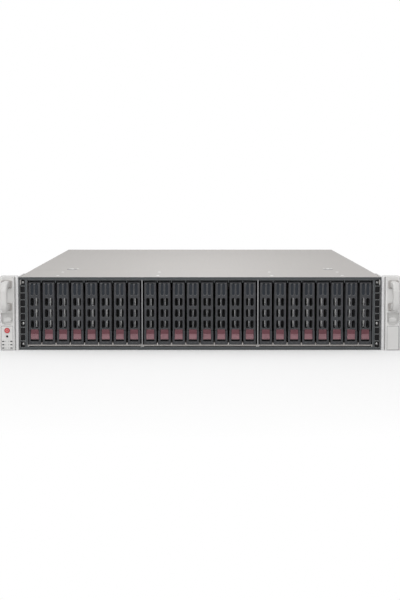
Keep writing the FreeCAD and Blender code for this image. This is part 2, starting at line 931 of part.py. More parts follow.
def fan_frame(x):
    """Square frame with a round bore. Two crossed bars at the back carry the rotor's bearing."""
    half = fan_size / 2
    frame = block(x - half, x + half, fan_front, fan_back, fan_bottom, fan_bottom + fan_size)
    mouth = prism_y(ring_corners(x, fan_middle, fan_bore, fan_bore_sides), fan_front - over, fan_back + over)
    frame = carved(frame, mouth)
    reach = fan_bore + fan_frame_wall / 2
    base = prism_y(ring_corners(x, fan_middle, fan_base_radius, hub_sides), fan_base_front, fan_back)
    level = block(x - reach, x + reach, fan_base_front, fan_back,
                  fan_middle - fan_spoke / 2, fan_middle + fan_spoke / 2)
    upright = block(x - fan_spoke / 2, x + fan_spoke / 2, fan_base_front, fan_back,
                    fan_middle - reach, fan_middle + reach)
    bore = bearing_radius(rotor_shaft_radius, rotor_shaft_clearance)
    bearing = pin_y(x, fan_middle, bore, fan_base_front - over, fan_back + over)
    return carved(joined(frame, base, level, upright), bearing)


def fan_rotor(x):
    """Hub with bent blades and a short shaft in the frame's bearing."""
    hub_front = fan_front + rotor_setback
    hub_back = fan_base_front - rotor_gap
    hub = prism_y(ring_corners(x, fan_middle, rotor_radius, hub_sides), hub_front, hub_back)
    shaft = pin_y(x, fan_middle, rotor_shaft_radius, hub_back, hub_back + rotor_gap + rotor_shaft_reach)
    middle = (hub_front + hub_back) / 2
    front = middle - blade_rise / 2
    back = middle + blade_rise / 2
    low = fan_middle - blade_chord / 2
    high = fan_middle + blade_chord / 2
    bend = fan_middle + blade_camber
    outline = [(front, low), (middle, bend), (back, high), (back + blade_sheet, high),
               (middle + blade_sheet, bend), (front + blade_sheet, low)]
    blades = []
    root = x + rotor_radius / 2
    for index in range(blade_count):
        blade = prism_x(outline, root, x + blade_tip)
        blade.rotate(V(x, middle, fan_middle), V(0, 1, 0), 360 * index / blade_count)
        blades.append(blade)
    return joined(hub, shaft, *blades)


# Control board and external ports

def control_board():
    """Board on four standoffs, with a finned heat sink."""
    left = -board_offset - board_width / 2
    right = left + board_width
    front = fan_back + board_gap
    back = front + board_length
    under = sheet + standoff_height
    top = under + board_sheet
    pieces = [block(left, right, front, back, under, top)]
    for x in (left + standoff_inset, right - standoff_inset):
        for y in (front + standoff_inset, back - standoff_inset):
            pieces.append(prism_z(ring_corners(x, y, standoff_radius, standoff_sides), sheet, under))
    sink_left = -board_offset - sink_width / 2
    fin_pitch = (sink_width - sink_fin) / (sink_fins - 1)
    outline = [(sink_left, top), (sink_left, top + sink_height)]
    for fin in range(sink_fins):
        x = sink_left + fin * fin_pitch
        if fin:
            outline += [(x, top + sink_base), (x, top + sink_height)]
        outline.append((x + sink_fin, top + sink_height))
        if fin < sink_fins - 1:
            outline.append((x + sink_fin, top + sink_base))
    outline.append((sink_left + sink_width, top))
    sink_front = (front + back - sink_length) / 2
    pieces.append(prism_y(outline, sink_front, sink_front + sink_length))
    return pieces


def port_places():
    right = partition_left - port_offset
    return [(right - (port_columns - 1 - column) * port_pitch_x, port_lift + row * port_pitch_z)
            for column in range(port_columns) for row in range(port_rows)]


def port_cages():
    """Sheet cages of the external ports, open towards the back."""
    cages = []
    for x, z in port_places():
        half_width = port_width / 2
        half_height = port_height / 2
        start = rear_panel_front - port_depth - port_back
        cage = block(x - half_width - port_wall, x + half_width + port_wall, start, rear_panel_front,
                     z - half_height - port_wall, z + half_height + port_wall)
        mouth = block(x - half_width, x + half_width, rear_panel_front - port_depth, rear_panel_front + over,
                      z - half_height, z + half_height)
        cages.append(carved(cage, mouth))
    return cages


# Power supplies

def psu_cage():
    """Partition beside the power supplies, and the shelf that the upper one runs on."""
    front = psu_front - psu_front_room
    partition = block(partition_left, partition_right, front, rear_panel_front,
                      sheet, psu_upper_floor + psu_height)
    shelf = block(partition_left, inner_half, front, rear_panel_front,
                  shelf_bottom, shelf_bottom + shelf_sheet)
    return joined(partition, shelf)


def lever_hinge(floor):
    """Height and depth of the release lever's hinge in a power supply that stands on floor."""
    return psu_back - lever_setback, floor + lever_lift


def power_supply(floor):
    """Closed housing with a grille, a recessed inlet with three blades and a pull loop."""
    housing = block(psu_left, psu_right, psu_front, psu_back, floor, floor + psu_height)
    tools = []
    grille = psu_left + grille_inset
    lowest = floor + (psu_height - (grille_slots - 1) * grille_pitch - grille_slot) / 2
    for slot in range(grille_slots):
        bottom = lowest + slot * grille_pitch
        tools.append(block(grille, grille + grille_width, psu_back - grille_depth, psu_back + over,
                           bottom, bottom + grille_slot))
    right = psu_right - inlet_inset
    left = right - inlet_width
    bottom = floor + inlet_lift
    top = bottom + inlet_height
    pocket = block(left, right, psu_back - inlet_depth - inlet_floor, psu_back, bottom, top)
    hinge_depth, hinge_height = lever_hinge(floor)
    lever_right = psu_right - lever_inset
    tools += [pocket, block(lever_right - lever_width - lever_gap, lever_right + lever_gap,
                            hinge_depth - lever_barrel - lever_gap, psu_back + over,
                            hinge_height - lever_barrel - lever_gap,
                            hinge_height + lever_barrel + lever_gap + lever_pocket_room)]
    recess = block(left + inlet_wall, right - inlet_wall, psu_back - inlet_depth, psu_back + over,
                   bottom + inlet_wall, top - inlet_wall)
    inlet = carved(pocket, recess)
    middle_x = (left + right) / 2
    middle_z = (bottom + top) / 2
    blades = []
    for step in (-1, 0, 1):
        x = middle_x + (inlet_pin if step == 0 else -inlet_pin)
        z = middle_z + step * inlet_pin_pitch
        blades.append(block(x - inlet_pin / 2, x + inlet_pin / 2, psu_back - inlet_depth,
                            psu_back - inlet_depth + inlet_pin_length,
                            z - inlet_pin_height / 2, z + inlet_pin_height / 2))
    outline = loop_outline(psu_back, 1, floor + loop_margin, floor + psu_height - loop_margin,
                           loop_reach, loop_bar, loop_arm, loop_outer_round, ())
    loop = prism_x(outline, psu_left + loop_inset, psu_left + loop_inset + loop_width)
    return [carved(housing, *tools), joined(inlet, *blades), loop]


def psu_lever(floor):
    """Flat thumb lever on a round barrel."""
    hinge_depth, hinge_height = lever_hinge(floor)
    right = psu_right - lever_inset
    barrel = pin_x(hinge_depth, hinge_height, lever_barrel, right - lever_width, right)
    tip = psu_back + lever_reach
    thumb = prism_z([(right - lever_width, hinge_depth), (right, hinge_depth),
                     (right, tip, lever_sheet), (right - lever_width, tip, lever_sheet)],
                    hinge_height - lever_sheet / 2, hinge_height + lever_sheet / 2)
    return joined(barrel, thumb)


os.makedirs("parts", exist_ok=True)

save("chassis_tub", chassis_tub())
save("front_frame", front_frame())
save("front_top_plate", front_top_plate())
save("rear_panel", rear_panel())
save("main_cover", main_cover())
save("cover_tab_left", cover_tab(-1))
save("cover_tab_right", cover_tab(1))

save("drive_cage", *drive_cage())
save("drive_backplane", drive_backplane())
save("backplane_sockets", *backplane_sockets())
make_trays()

save("ear_brackets", ear_bracket(), mirrored(ear_bracket()))
save("left_ear", mirrored(ear_housing(True)))
save("right_ear", ear_housing(False))
save("pull_handles", pull_handle(), mirrored(pull_handle()))
save("control_plate", control_plate())
save("bare_plate", ear_plate(ear_middle))
save("status_light_pipes", *status_light_pipes())
save("control_panel_board", control_panel_board())
save("power_button", panel_button(power_height, power_radius, ear_front - power_proud, power_travel))
save("reset_button", panel_button(reset_height, reset_radius, ear_front + reset_sunk, reset_travel))

save("fan_wall", fan_wall())
save("fan_frames", *[fan_frame(x) for x in fan_middles()])
for fan_number, fan_x in enumerate(fan_middles(), 1):
    save("fan_rotor_%d" % fan_number, fan_rotor(fan_x))

save("control_board", *control_board())
save("port_cages", *port_cages())
save("psu_cage", psu_cage())
for level, floor_z in (("lower", psu_floor), ("upper", psu_upper_floor)):
    save("power_supply_" + level, *power_supply(floor_z))
    save("psu_lever_" + level, psu_lever(floor_z))
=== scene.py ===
# %% [markdown]
# # A two-unit disk shelf
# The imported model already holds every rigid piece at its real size. This lesson dresses it: softened
# edges, round-ended slots, rivets, screws and finishes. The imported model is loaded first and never
# changed, because the picture, the moving parts and the solids have to agree.

# %% Load the frame
import json
import math

import bmesh
import bpy
from mathutils import Matrix, Vector

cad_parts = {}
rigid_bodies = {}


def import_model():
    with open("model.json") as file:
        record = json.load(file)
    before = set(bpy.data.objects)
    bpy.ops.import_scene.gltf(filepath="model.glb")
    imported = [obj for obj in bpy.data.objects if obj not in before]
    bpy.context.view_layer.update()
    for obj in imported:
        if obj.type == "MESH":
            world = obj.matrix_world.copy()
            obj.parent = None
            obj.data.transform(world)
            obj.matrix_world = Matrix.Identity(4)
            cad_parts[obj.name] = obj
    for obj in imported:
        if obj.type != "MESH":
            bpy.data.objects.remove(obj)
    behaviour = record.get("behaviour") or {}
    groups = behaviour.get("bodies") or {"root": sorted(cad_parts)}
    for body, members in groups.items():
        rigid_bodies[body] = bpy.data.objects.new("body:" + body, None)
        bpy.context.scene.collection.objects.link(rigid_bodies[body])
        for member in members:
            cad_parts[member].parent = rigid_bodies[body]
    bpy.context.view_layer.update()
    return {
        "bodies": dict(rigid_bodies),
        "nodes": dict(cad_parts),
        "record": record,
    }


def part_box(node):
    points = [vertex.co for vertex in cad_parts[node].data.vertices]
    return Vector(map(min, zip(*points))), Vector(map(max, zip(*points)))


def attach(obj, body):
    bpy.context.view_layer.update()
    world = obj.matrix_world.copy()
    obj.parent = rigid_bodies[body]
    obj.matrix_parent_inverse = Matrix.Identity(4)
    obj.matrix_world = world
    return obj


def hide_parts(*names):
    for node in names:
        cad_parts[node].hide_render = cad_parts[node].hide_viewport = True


for leftover in list(bpy.data.objects):
    bpy.data.objects.remove(leftover)
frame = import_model()

# %% [markdown]
# ## Measures
# Drawings of such a shelf are in millimetres, so the pieces below are drawn in millimetres too and scaled
# to metres once, when they are finished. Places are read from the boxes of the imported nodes, so that a
# piece follows the model when its size changes.

# %% Measures from the frame
MM = 0.001
TINY = 0.001


def box_mm(node):
    low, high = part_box(node)
    return low / MM, high / MM


face_low, face_high = box_mm("front_frame")
tray_low, tray_high = box_mm("drive_tray_01")
handle_low, handle_high = box_mm("tray_handle_01")
button_low, button_high = box_mm("tray_button_01")
cover_low, cover_high = box_mm("main_cover")
ear_low, ear_high = box_mm("right_ear")
panel_back = box_mm("rear_panel")[1].y
front_y = face_low.y
tray_width = tray_high.x - tray_low.x
tray_names = sorted(node for node in frame["nodes"] if node.startswith("drive_tray_"))
print("front plane at", round(front_y, 1), "mm,", len(tray_names), "trays of", round(tray_width, 1), "mm")

# %% [markdown]
# ## Node helpers
# Shader trees and geometry trees are built by the same steps: a node is made, and each of its inputs is
# linked or set. A few helpers for that keep the trees short enough to read.

# %% Node helpers
SOCKETS = {"value": "NodeSocketFloat", "count": "NodeSocketInt", "vector": "NodeSocketVector",
           "shape": "NodeSocketGeometry", "material": "NodeSocketMaterial"}


def plug(tree, socket, value):
    """Links an input to an output, or sets it to a constant."""
    if isinstance(value, bpy.types.NodeSocket):
        tree.links.new(value, socket)
    elif socket.type == "RGBA":
        socket.default_value = (*value, 1.0)
    else:
        socket.default_value = value


def add_node(tree, kind, inputs=None, **settings):
    """Makes a node and gives its outputs."""
    node = tree.nodes.new(kind)
    for name, value in settings.items():
        setattr(node, name, value)
    for name, value in (inputs or {}).items():
        plug(tree, node.inputs[name], value)
    return node.outputs


def result(tree, kind, inputs=None, **settings):
    """Makes a node and gives its first output."""
    return add_node(tree, kind, inputs, **settings)[0]


def new_group(name, kind, inputs, outputs):
    tree = bpy.data.node_groups.new(name, kind)
    for direction, sockets in (("INPUT", inputs), ("OUTPUT", outputs)):
        for label, socket in sockets:
            tree.interface.new_socket(label, in_out=direction, socket_type=SOCKETS[socket])
    return tree, tree.nodes.new("NodeGroupInput").outputs, tree.nodes.new("NodeGroupOutput").inputs


def maths(tree, operation, first, second=0.0):
    return result(tree, "ShaderNodeMath", {0: first, 1: second}, operation=operation)


def mixed(tree, factor, first, second):
    return add_node(tree, "ShaderNodeMix", {0: factor, 6: first, 7: second}, data_type="RGBA")[2]


print("node helpers ready")

# %% [markdown]
# ## Shared surface effects
# Real surfaces are never one even colour. Moulded plastic has a fine grain, rolled sheet has streaks along
# the rolling direction, edges are rubbed bright and dust settles on what faces up. Each effect is a node
# group, built once and placed in several materials with its own values. A group puts out only masks and
# heights, and the material decides what they do. The rubbed edges follow an attribute of the narrow faces
# along an edge.

# %% Shared effects
BROAD = 0.02
STREAK_SHARE = 0.8
FLAKE_SHARE = 0.25


def effect_group(name, inputs, outputs):
    return new_group(name, "ShaderNodeTree", [(label, "value") for label in inputs],
                     [(label, "value") for label in outputs])


def own_place(tree):
    return add_node(tree, "ShaderNodeTexCoord")["Object"]


def noise(tree, place, scale, detail):
    return result(tree, "ShaderNodeTexNoise", {"Vector": place, "Scale": scale, "Detail": detail})


def grain_group():
    tree, given, made = effect_group("Moulded grain", ["Scale"], ["Height", "Tone"])
    place = own_place(tree)
    broad = maths(tree, "MULTIPLY", given["Scale"], BROAD)
    plug(tree, made["Height"], noise(tree, place, given["Scale"], detail=3.0))
    plug(tree, made["Tone"], noise(tree, place, broad, detail=2.0))
    return tree


def rolled_group():
    tree, given, made = effect_group("Rolled sheet", ["Across", "Along"], ["Height", "Tone"])
    place = own_place(tree)
    stretch = result(tree, "ShaderNodeCombineXYZ",
                     {"X": given["Across"], "Y": given["Along"], "Z": given["Across"]})
    mapped = result(tree, "ShaderNodeMapping", {"Vector": place, "Scale": stretch})
    streaks = noise(tree, mapped, 1.0, detail=4.0)
    flakes = result(tree, "ShaderNodeTexVoronoi", {"Vector": place, "Scale": given["Across"]})
    shade = maths(tree, "MULTIPLY", flakes, FLAKE_SHARE)
    plug(tree, made["Height"], streaks)
    plug(tree, made["Tone"], maths(tree, "ADD", maths(tree, "MULTIPLY", streaks, STREAK_SHARE), shade))
    return tree


def wear_group():
    tree, given, made = effect_group("Rubbed edges", ["Scale"], ["Mask"])
    edge = add_node(tree, "ShaderNodeAttribute", attribute_name="edge")["Fac"]
    patch = noise(tree, own_place(tree), given["Scale"], detail=3.0)
    plug(tree, made["Mask"], maths(tree, "MULTIPLY", edge, patch))
    return tree


def dust_group():
    tree, given, made = effect_group("Settled dust", ["Scale", "Amount"], ["Mask"])
    normal = add_node(tree, "ShaderNodeNewGeometry")["Normal"]
    upward = maths(tree, "MAXIMUM", add_node(tree, "ShaderNodeSeparateXYZ", {"Vector": normal})["Z"], 0.0)
    patch = noise(tree, own_place(tree), given["Scale"], detail=5.0)
    amount = maths(tree, "MULTIPLY", patch, given["Amount"])
    plug(tree, made["Mask"], maths(tree, "MULTIPLY", upward, amount))
    return tree


GRAIN, ROLLED, WEAR, DUST = grain_group(), rolled_group(), wear_group(), dust_group()
print("shared effects:", ", ".join(tree.name for tree in (GRAIN, ROLLED, WEAR, DUST)))

# %% [markdown]
# ## Finishes
# The shelf has two families of finish. Plastics, paint and castings have a fine grain, a slight change of
# tone, rubbed edges and some dust. Sheet metal has rolling streaks instead of grain. One function for each
# family makes all materials, with colours written as linear values and constants set on the shader itself.

# %% Finishes
DUST_COLOUR = (0.42, 0.41, 0.39)
DUST_AMOUNT = 0.05
DUST_SCALE = 45.0
WEAR_SCALE = 260.0
GRAIN_SIZES = {"Scale": 2200.0}
ROLLED_SIZES = {"Across": 420.0, "Along": 9.0}
ROUGHNESS_SPREAD = 0.16
BUMP_DISTANCE = 0.0002


def finish(name, dark, light, rubbed, effect, sizes, roughness, metallic, bump, gloss, coat):
    """Material with tone and bump from one effect, rubbed edges and dust."""
    material = bpy.data.materials.new(name)
    material.use_nodes = True
    tree = material.node_tree
    base = add_node(tree, "ShaderNodeGroup", sizes, node_tree=effect)
    wear = result(tree, "ShaderNodeGroup", {"Scale": WEAR_SCALE}, node_tree=WEAR)
    dust = result(tree, "ShaderNodeGroup", {"Scale": DUST_SCALE, "Amount": DUST_AMOUNT}, node_tree=DUST)
    colour = mixed(tree, wear, mixed(tree, base["Tone"], dark, light), rubbed)
    spread = maths(tree, "MULTIPLY", base["Tone"], ROUGHNESS_SPREAD)
    relief = {"Height": base["Height"], "Strength": bump, "Distance": BUMP_DISTANCE}
    sockets = {"Base Color": mixed(tree, dust, colour, DUST_COLOUR),
               "Roughness": maths(tree, "ADD", spread, roughness - ROUGHNESS_SPREAD / 2),
               "Metallic": metallic, "Coat Weight": coat, "Specular IOR Level": gloss,
               "Normal": result(tree, "ShaderNodeBump", relief)}
    for label, value in sockets.items():
        plug(tree, tree.nodes["Principled BSDF"].inputs[label], value)
    return material


def moulded(name, dark, light, roughness=0.5, rubbed=(0.3, 0.3, 0.3), bump=0.25, gloss=0.5, metallic=0.0,
            coat=0.0):
    return finish(name, dark, light, rubbed, GRAIN, GRAIN_SIZES, roughness, metallic, bump, gloss, coat)


def rolled(name, dark, light, roughness=0.55, metallic=0.3, rubbed=(0.7, 0.7, 0.69), bump=0.03, gloss=0.2):
    return finish(name, dark, light, rubbed, ROLLED, ROLLED_SIZES, roughness, metallic, bump, gloss, 0.0)


print("two families of finish ready")

# %% [markdown]
# A finish goes from its darkest to its lightest tone, and a third colour is for its rubbed edges. The tones
# of what the photograph shows were tuned until the render came close to it.

# %% Materials
ZINC = rolled("zinc_sheet", (0.318, 0.304, 0.293), (0.417, 0.399, 0.384))
BRIGHT = rolled("bright_steel", (0.5, 0.5, 0.5), (0.72, 0.72, 0.72), 0.32, 0.7)
SUPPLY = rolled("supply_sheet", (0.26, 0.26, 0.26), (0.4, 0.4, 0.395))
LID = rolled("drive_lid", (0.42, 0.42, 0.43), (0.6, 0.6, 0.61), 0.36, 0.8)
CASTING = moulded("drive_casting", (0.2, 0.2, 0.205), (0.3, 0.3, 0.305), 0.48, metallic=0.6)
FACE = moulded("face_paint", (0.037, 0.041, 0.044), (0.056, 0.062, 0.066), 0.45, gloss=0.3)
CARRIER = moulded("carrier_plastic", (0.024, 0.025, 0.028), (0.039, 0.04, 0.045), 0.5, (0.14, 0.14, 0.145),
                  gloss=0.3)
# Painted shade: a darker, bluer finish for the floor of the tray's blind recesses.
PAINTED_RECESS_SHADE = moulded("recess_floor", (0.02, 0.023, 0.028), (0.031, 0.036, 0.044), 0.6, gloss=0.1)
BURGUNDY = moulded("burgundy_plastic", (0.079, 0.025, 0.033), (0.131, 0.043, 0.054), 0.45,
                   (0.42, 0.22, 0.25), gloss=0.3)
# Painted highlight: a paler burgundy for the front faces of the button's ridges, where they catch the light.
RIDGE_HIGHLIGHT = moulded("burgundy_ridge_painted_highlight", (0.17, 0.08, 0.094), (0.25, 0.122, 0.14), 0.45, (0.5, 0.3, 0.33),
                gloss=0.3)
EAR = moulded("ear_silver", (0.535, 0.53, 0.52), (0.663, 0.658, 0.647), 0.5, (0.76, 0.76, 0.76), 0.12, 0.35)
PULL = moulded("pull_satin", (0.526, 0.52, 0.508), (0.62, 0.613, 0.602), 0.34, (0.8, 0.8, 0.79), 0.06, 0.4)
BLACK = moulded("black_plastic", (0.008, 0.008, 0.009), (0.02, 0.02, 0.022), 0.5, (0.06, 0.06, 0.06),
                gloss=0.2)
RED = moulded("red_lens", (0.46, 0.02, 0.025), (0.66, 0.05, 0.05), 0.2, (0.8, 0.2, 0.2), 0.03, coat=0.3)
PALE = moulded("pale_mark", (0.7, 0.68, 0.66), (0.82, 0.8, 0.78))
INK = moulded("grey_ink", (0.16, 0.16, 0.17), (0.24, 0.24, 0.25), 0.6)
SMOKED = moulded("smoked_window", (0.03, 0.033, 0.036), (0.06, 0.064, 0.068), 0.15, bump=0.02, coat=0.3)
BOARD = moulded("solder_mask", (0.012, 0.09, 0.045), (0.03, 0.15, 0.075), 0.35)
print(len(bpy.data.materials), "materials in the file")

# %% [markdown]
# ## Making a piece
# Every piece goes the same way: a rough solid in millimetres, modifiers that cut and soften it, then a
# plain mesh in metres that rides on a body of the frame. First come the helpers for the rough solid. Edges
# are softened with the Bevel modifier, because a real edge catches a thin line of light and a
# mathematically sharp one doesn't.

# %% Work objects
CORNER = math.radians(32)


def new_object(name, data):
    made = bpy.data.objects.new(name, data)
    bpy.context.scene.collection.objects.link(made)
    return made


def work_object(name, shape, material):
    mesh = bpy.data.meshes.new(name)
    bmesh.ops.recalc_face_normals(shape, faces=shape.faces[:])
    shape.to_mesh(mesh)
    shape.free()
    mesh.materials.append(material)
    return new_object(name, mesh)


def add_block(shape, low, high):
    low, high = Vector(low), Vector(high)
    matrix = Matrix.Translation((low + high) / 2) @ Matrix.Diagonal((*(high - low), 1.0))
    bmesh.ops.create_cube(shape, size=1.0, matrix=matrix)


def add_pair(shape, low, high):
    """A block of the right side, and its mirror image on the left."""
    add_block(shape, (-high[0], *low[1:]), (-low[0], *high[1:]))
    add_block(shape, low, high)


def block_object(name, low, high, material):
    shape = bmesh.new()
    add_block(shape, low, high)
    return work_object(name, shape, material)


def add_prism(shape, corners, place, start, end):
    """Outline of (a, b) corners, pushed from start to end. place(a, b, c) gives the point."""
    rings = [[shape.verts.new(place(a, b, c)) for a, b in corners] for c in (start, end)]
    shape.faces.new(rings[0])
    shape.faces.new(reversed(rings[1]))
    for index in range(len(corners)):
        shape.faces.new((rings[0][index - 1], rings[0][index], rings[1][index], rings[1][index - 1]))


def along_x(y, z, x):
    return x, y, z


def along_y(x, z, y):
    return x, y, z


def soften(work, width, segments=2):
    bevel = work.modifiers.new("Soft edges", "BEVEL")
    bevel.width = width
    bevel.segments = segments
    bevel.limit_method = "ANGLE"
    bevel.angle_limit = CORNER
    return work


print("work object helpers ready")

# %% [markdown]
# A finished mesh has its modifiers in it. The Weighted Normal modifier keeps the flat faces flat and
# shades only the edges round. The narrow faces along softened edges are marked for the rubbed edges of the
# finishes. Meshes of different finish are joined when they move together.

# %% Plain meshes and pieces
SHARP = math.radians(50)
FLAT_WEIGHT = 90
NARROW = 0.34


def evaluated_mesh(work):
    bpy.context.view_layer.update()
    return bpy.data.meshes.new_from_object(work.evaluated_get(bpy.context.evaluated_depsgraph_get()))


def mark_edges(mesh):
    """Face attribute that is 1 on the narrow faces along softened edges."""
    narrow = []
    for face in mesh.polygons:
        corners = [mesh.vertices[index].co for index in face.vertices]
        outline = sum((corner - corners[index - 1]).length for index, corner in enumerate(corners))
        narrow.append(float(2 * face.area < NARROW * outline))
    mesh.attributes.new("edge", "FLOAT", "FACE").data.foreach_set("value", narrow)


def plain_mesh(work):
    """Mesh of a work object with its modifiers in it. The work object is gone afterwards."""
    mesh = evaluated_mesh(work)
    mesh.shade_smooth()
    mesh.set_sharp_from_angle(angle=SHARP)
    work.modifiers.clear()
    work.data = mesh
    flat = work.modifiers.new("Flat faces", "WEIGHTED_NORMAL")
    flat.keep_sharp = True
    flat.weight = FLAT_WEIGHT
    mesh = evaluated_mesh(work)
    bpy.data.objects.remove(work)
    mark_edges(mesh)
    return mesh


def painted(mesh, material, where):
    """Second finish for the faces that pass the test."""
    mesh.materials.append(material)
    for face in mesh.polygons:
        if where(face):
            face.material_index = len(mesh.materials) - 1
    return mesh


def joined(name, parts):
    """One mesh from several work objects or meshes, each with its own material."""
    shape, materials = bmesh.new(), []
    for part in parts:
        mesh = part if isinstance(part, bpy.types.Mesh) else plain_mesh(part)
        start = len(shape.faces)
        shape.from_mesh(mesh)
        shape.faces.ensure_lookup_table()
        for face in shape.faces[start:]:
            material = mesh.materials[face.material_index]
            if material not in materials:
                materials.append(material)
            face.material_index = materials.index(material)
    mesh = bpy.data.meshes.new(name)
    shape.to_mesh(mesh)
    shape.free()
    for material in materials:
        mesh.materials.append(material)
    return mesh


def to_piece(name, mesh, body, slot, *nodes):
    mesh.transform(Matrix.Scale(MM, 4))
    mesh.name = name
    piece = new_object(name, mesh)
    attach(piece, body)
    if nodes:
        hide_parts(*nodes)
    print(name, "on", body, "with", len(mesh.polygons), "faces")


print("piece helpers ready")

# %% [markdown]
# ## Steps for Geometry Nodes
# Slots, bars and fasteners are each made by a node tree. The steps that the trees share come first:
# rounding the corners of a line, sweeping a profile along a path, setting copies on points and cutting one
# solid out of another. Each tree ends by realizing its instances and setting the material.

# %% Tree steps
def direction(tree, axis, length):
    return result(tree, "ShaderNodeCombineXYZ", {axis: length})


def rounded(tree, curve, radius, steps):
    return result(tree, "GeometryNodeFilletCurve",
                  {"Curve": curve, "Count": steps, "Radius": radius, "Limit Radius": True}, mode="POLY")


def swept_slot(tree, path, given, steps):
    """Solid along a path, with a rounded rectangle as its profile."""
    flat = result(tree, "GeometryNodeCurvePrimitiveQuadrilateral",
                  {"Width": given["Width"], "Height": given["Height"]})
    profile = rounded(tree, flat, given["Corner"], steps)
    return result(tree, "GeometryNodeCurveToMesh",
                  {"Curve": path, "Profile Curve": profile, "Fill Caps": True})


def set_on(tree, points, copy, turn=(0.0, 0.0, 0.0)):
    return result(tree, "GeometryNodeInstanceOnPoints",
                  {"Points": points, "Instance": copy, "Rotation": turn})


def realized(tree, shape):
    return result(tree, "GeometryNodeRealizeInstances", {"Geometry": shape})


def cut_away(tree, shape, tool):
    return result(tree, "GeometryNodeMeshBoolean", {"Mesh 1": shape, "Mesh 2": tool}, operation="DIFFERENCE",
                  solver="EXACT")


def end_tree(tree, shape, material, output):
    plug(tree, output, result(tree, "GeometryNodeSetMaterial",
                              {"Geometry": realized(tree, shape), "Material": material}))
    return tree


print("tree steps ready")

# %% [markdown]
# ## Cutting slots with Geometry Nodes
# Vents, tray slots and grilles are all the same thing: a grid of round-cornered slots through a wall. A
# boolean with hand-placed cutters would work, but a node tree with named inputs does any grid. Two Mesh
# Lines give the points, one rounded slot is swept along the depth, set on every point, and taken away from
# the wall.

# %% Slot cutter
def slot_tree():
    tree, given, made = new_group(
        "Cut slots", "GeometryNodeTree",
        [("Wall", "shape"), ("Columns", "count"), ("Rows", "count"), ("Pitch X", "value"),
         ("Pitch Z", "value"), ("First Slot", "vector"), ("Width", "value"), ("Height", "value"),
         ("Corner", "value"), ("Corner Steps", "count"), ("Depth", "value"), ("Material", "material")],
        [("Wall", "shape")])
    row = result(tree, "GeometryNodeMeshLine",
                 {"Count": given["Columns"], "Start Location": given["First Slot"],
                  "Offset": direction(tree, "X", given["Pitch X"])}, mode="OFFSET")
    column = result(tree, "GeometryNodeMeshLine",
                    {"Count": given["Rows"], "Offset": direction(tree, "Z", given["Pitch Z"])},
                    mode="OFFSET")
    points = realized(tree, set_on(tree, row, column))
    path = result(tree, "GeometryNodeCurvePrimitiveLine", {"End": direction(tree, "Y", given["Depth"])})
    cutter = swept_slot(tree, path, given, given["Corner Steps"])
    wall = cut_away(tree, given["Wall"], realized(tree, set_on(tree, points, cutter)))
    return end_tree(tree, wall, given["Material"], made["Wall"])


def use_tree(work, tree, sizes):
    """Puts a tree on a work object and sets its inputs by their identifiers."""
    modifier = work.modifiers.new(tree.name, "NODES")
    modifier.node_group = tree
    for item in tree.interface.items_tree:
        if item.in_out == "INPUT" and item.name in sizes:
            modifier[item.identifier] = sizes[item.name]
    return work


SLOTS = slot_tree()


def cut_slots(work, first, size, depth, corner, grid=(1, 1), pitch=(0.0, 0.0), steps=5):
    """Takes a grid of slots out of a wall. first is the start of the lowest left slot's middle line."""
    return use_tree(work, SLOTS, {
        "Columns": grid[0], "Rows": grid[1], "Pitch X": pitch[0], "Pitch Z": pitch[1], "First Slot": first,
        "Width": size[0], "Height": size[1], "Corner": corner, "Corner Steps": steps, "Depth": depth,
        "Material": work.data.materials[0]})


print("slot cutter:", len(SLOTS.nodes), "nodes")

# %% [markdown]
# ## Face plate
# The dark front is one painted steel plate: a wide opening for the trays and a ladder of vents at each
# side. It starts as a plain slab. The slot cutter takes out the opening and then both ladders in one grid
# of two columns, and the bevel gives the pressed edges.

# %% Face plate
SHEET_EDGE = 0.3
side_strip = 10.0
lower_lip = 3.7
upper_lip = 3.1
opening_corner = 0.8
vent_count = 10
vent_width = 6.2
vent_bridge = 0.9
vent_margin = 2.4
vent_corner = 1.2
vent_shift = 0.7
cut_over = 1.0
cut_start = front_y - cut_over
plate_cut = face_high.y - face_low.y + 2 * cut_over
face_height = face_high.z - face_low.z
opening_size = (face_high.x - face_low.x - 2 * side_strip, face_height - lower_lip - upper_lip)
vent_middle = face_high.x - side_strip / 2 + vent_shift
vent_pitch = (face_height - 2 * vent_margin) / vent_count

face_work = block_object("face_plate", face_low, face_high, FACE)
cut_slots(face_work, (0.0, cut_start, lower_lip + opening_size[1] / 2), opening_size, plate_cut,
          opening_corner)
cut_slots(face_work, (-vent_middle, cut_start, vent_margin + vent_pitch / 2),
          (vent_width, vent_pitch - vent_bridge), plate_cut, vent_corner, (2, vent_count),
          (2 * vent_middle, vent_pitch))
soften(face_work, SHEET_EDGE)
to_piece("face_plate", plain_mesh(face_work), "chassis", "dark_paint", "front_frame")

# %% [markdown]
# ## One tray
# A tray is a plastic carrier with a swing handle, a release button and a disk drive. All 24 are the same
# moulding, so one is drawn round its own middle line and copied. The carrier and the handle share these
# sizes.

# %% Tray measures
MOULDED_EDGE = 0.22
tray_front = tray_low.y
half_tray = tray_width / 2
tray_rail = 3.0
sill_height = 3.5
split_gap = 0.5
bezel_setback = 10.5
bezel_sheet = 1.5
button_gap = 0.35
lower_top = handle_low.z - split_gap
bezel_front = tray_front + bezel_setback
bezel_back = bezel_front + bezel_sheet
button_half = (button_high.x - button_low.x) / 2
notch_half = button_half + button_gap
print("tray front", round(tray_high.z - tray_low.z, 2), "mm high, handle from", round(handle_low.z, 2), "mm")
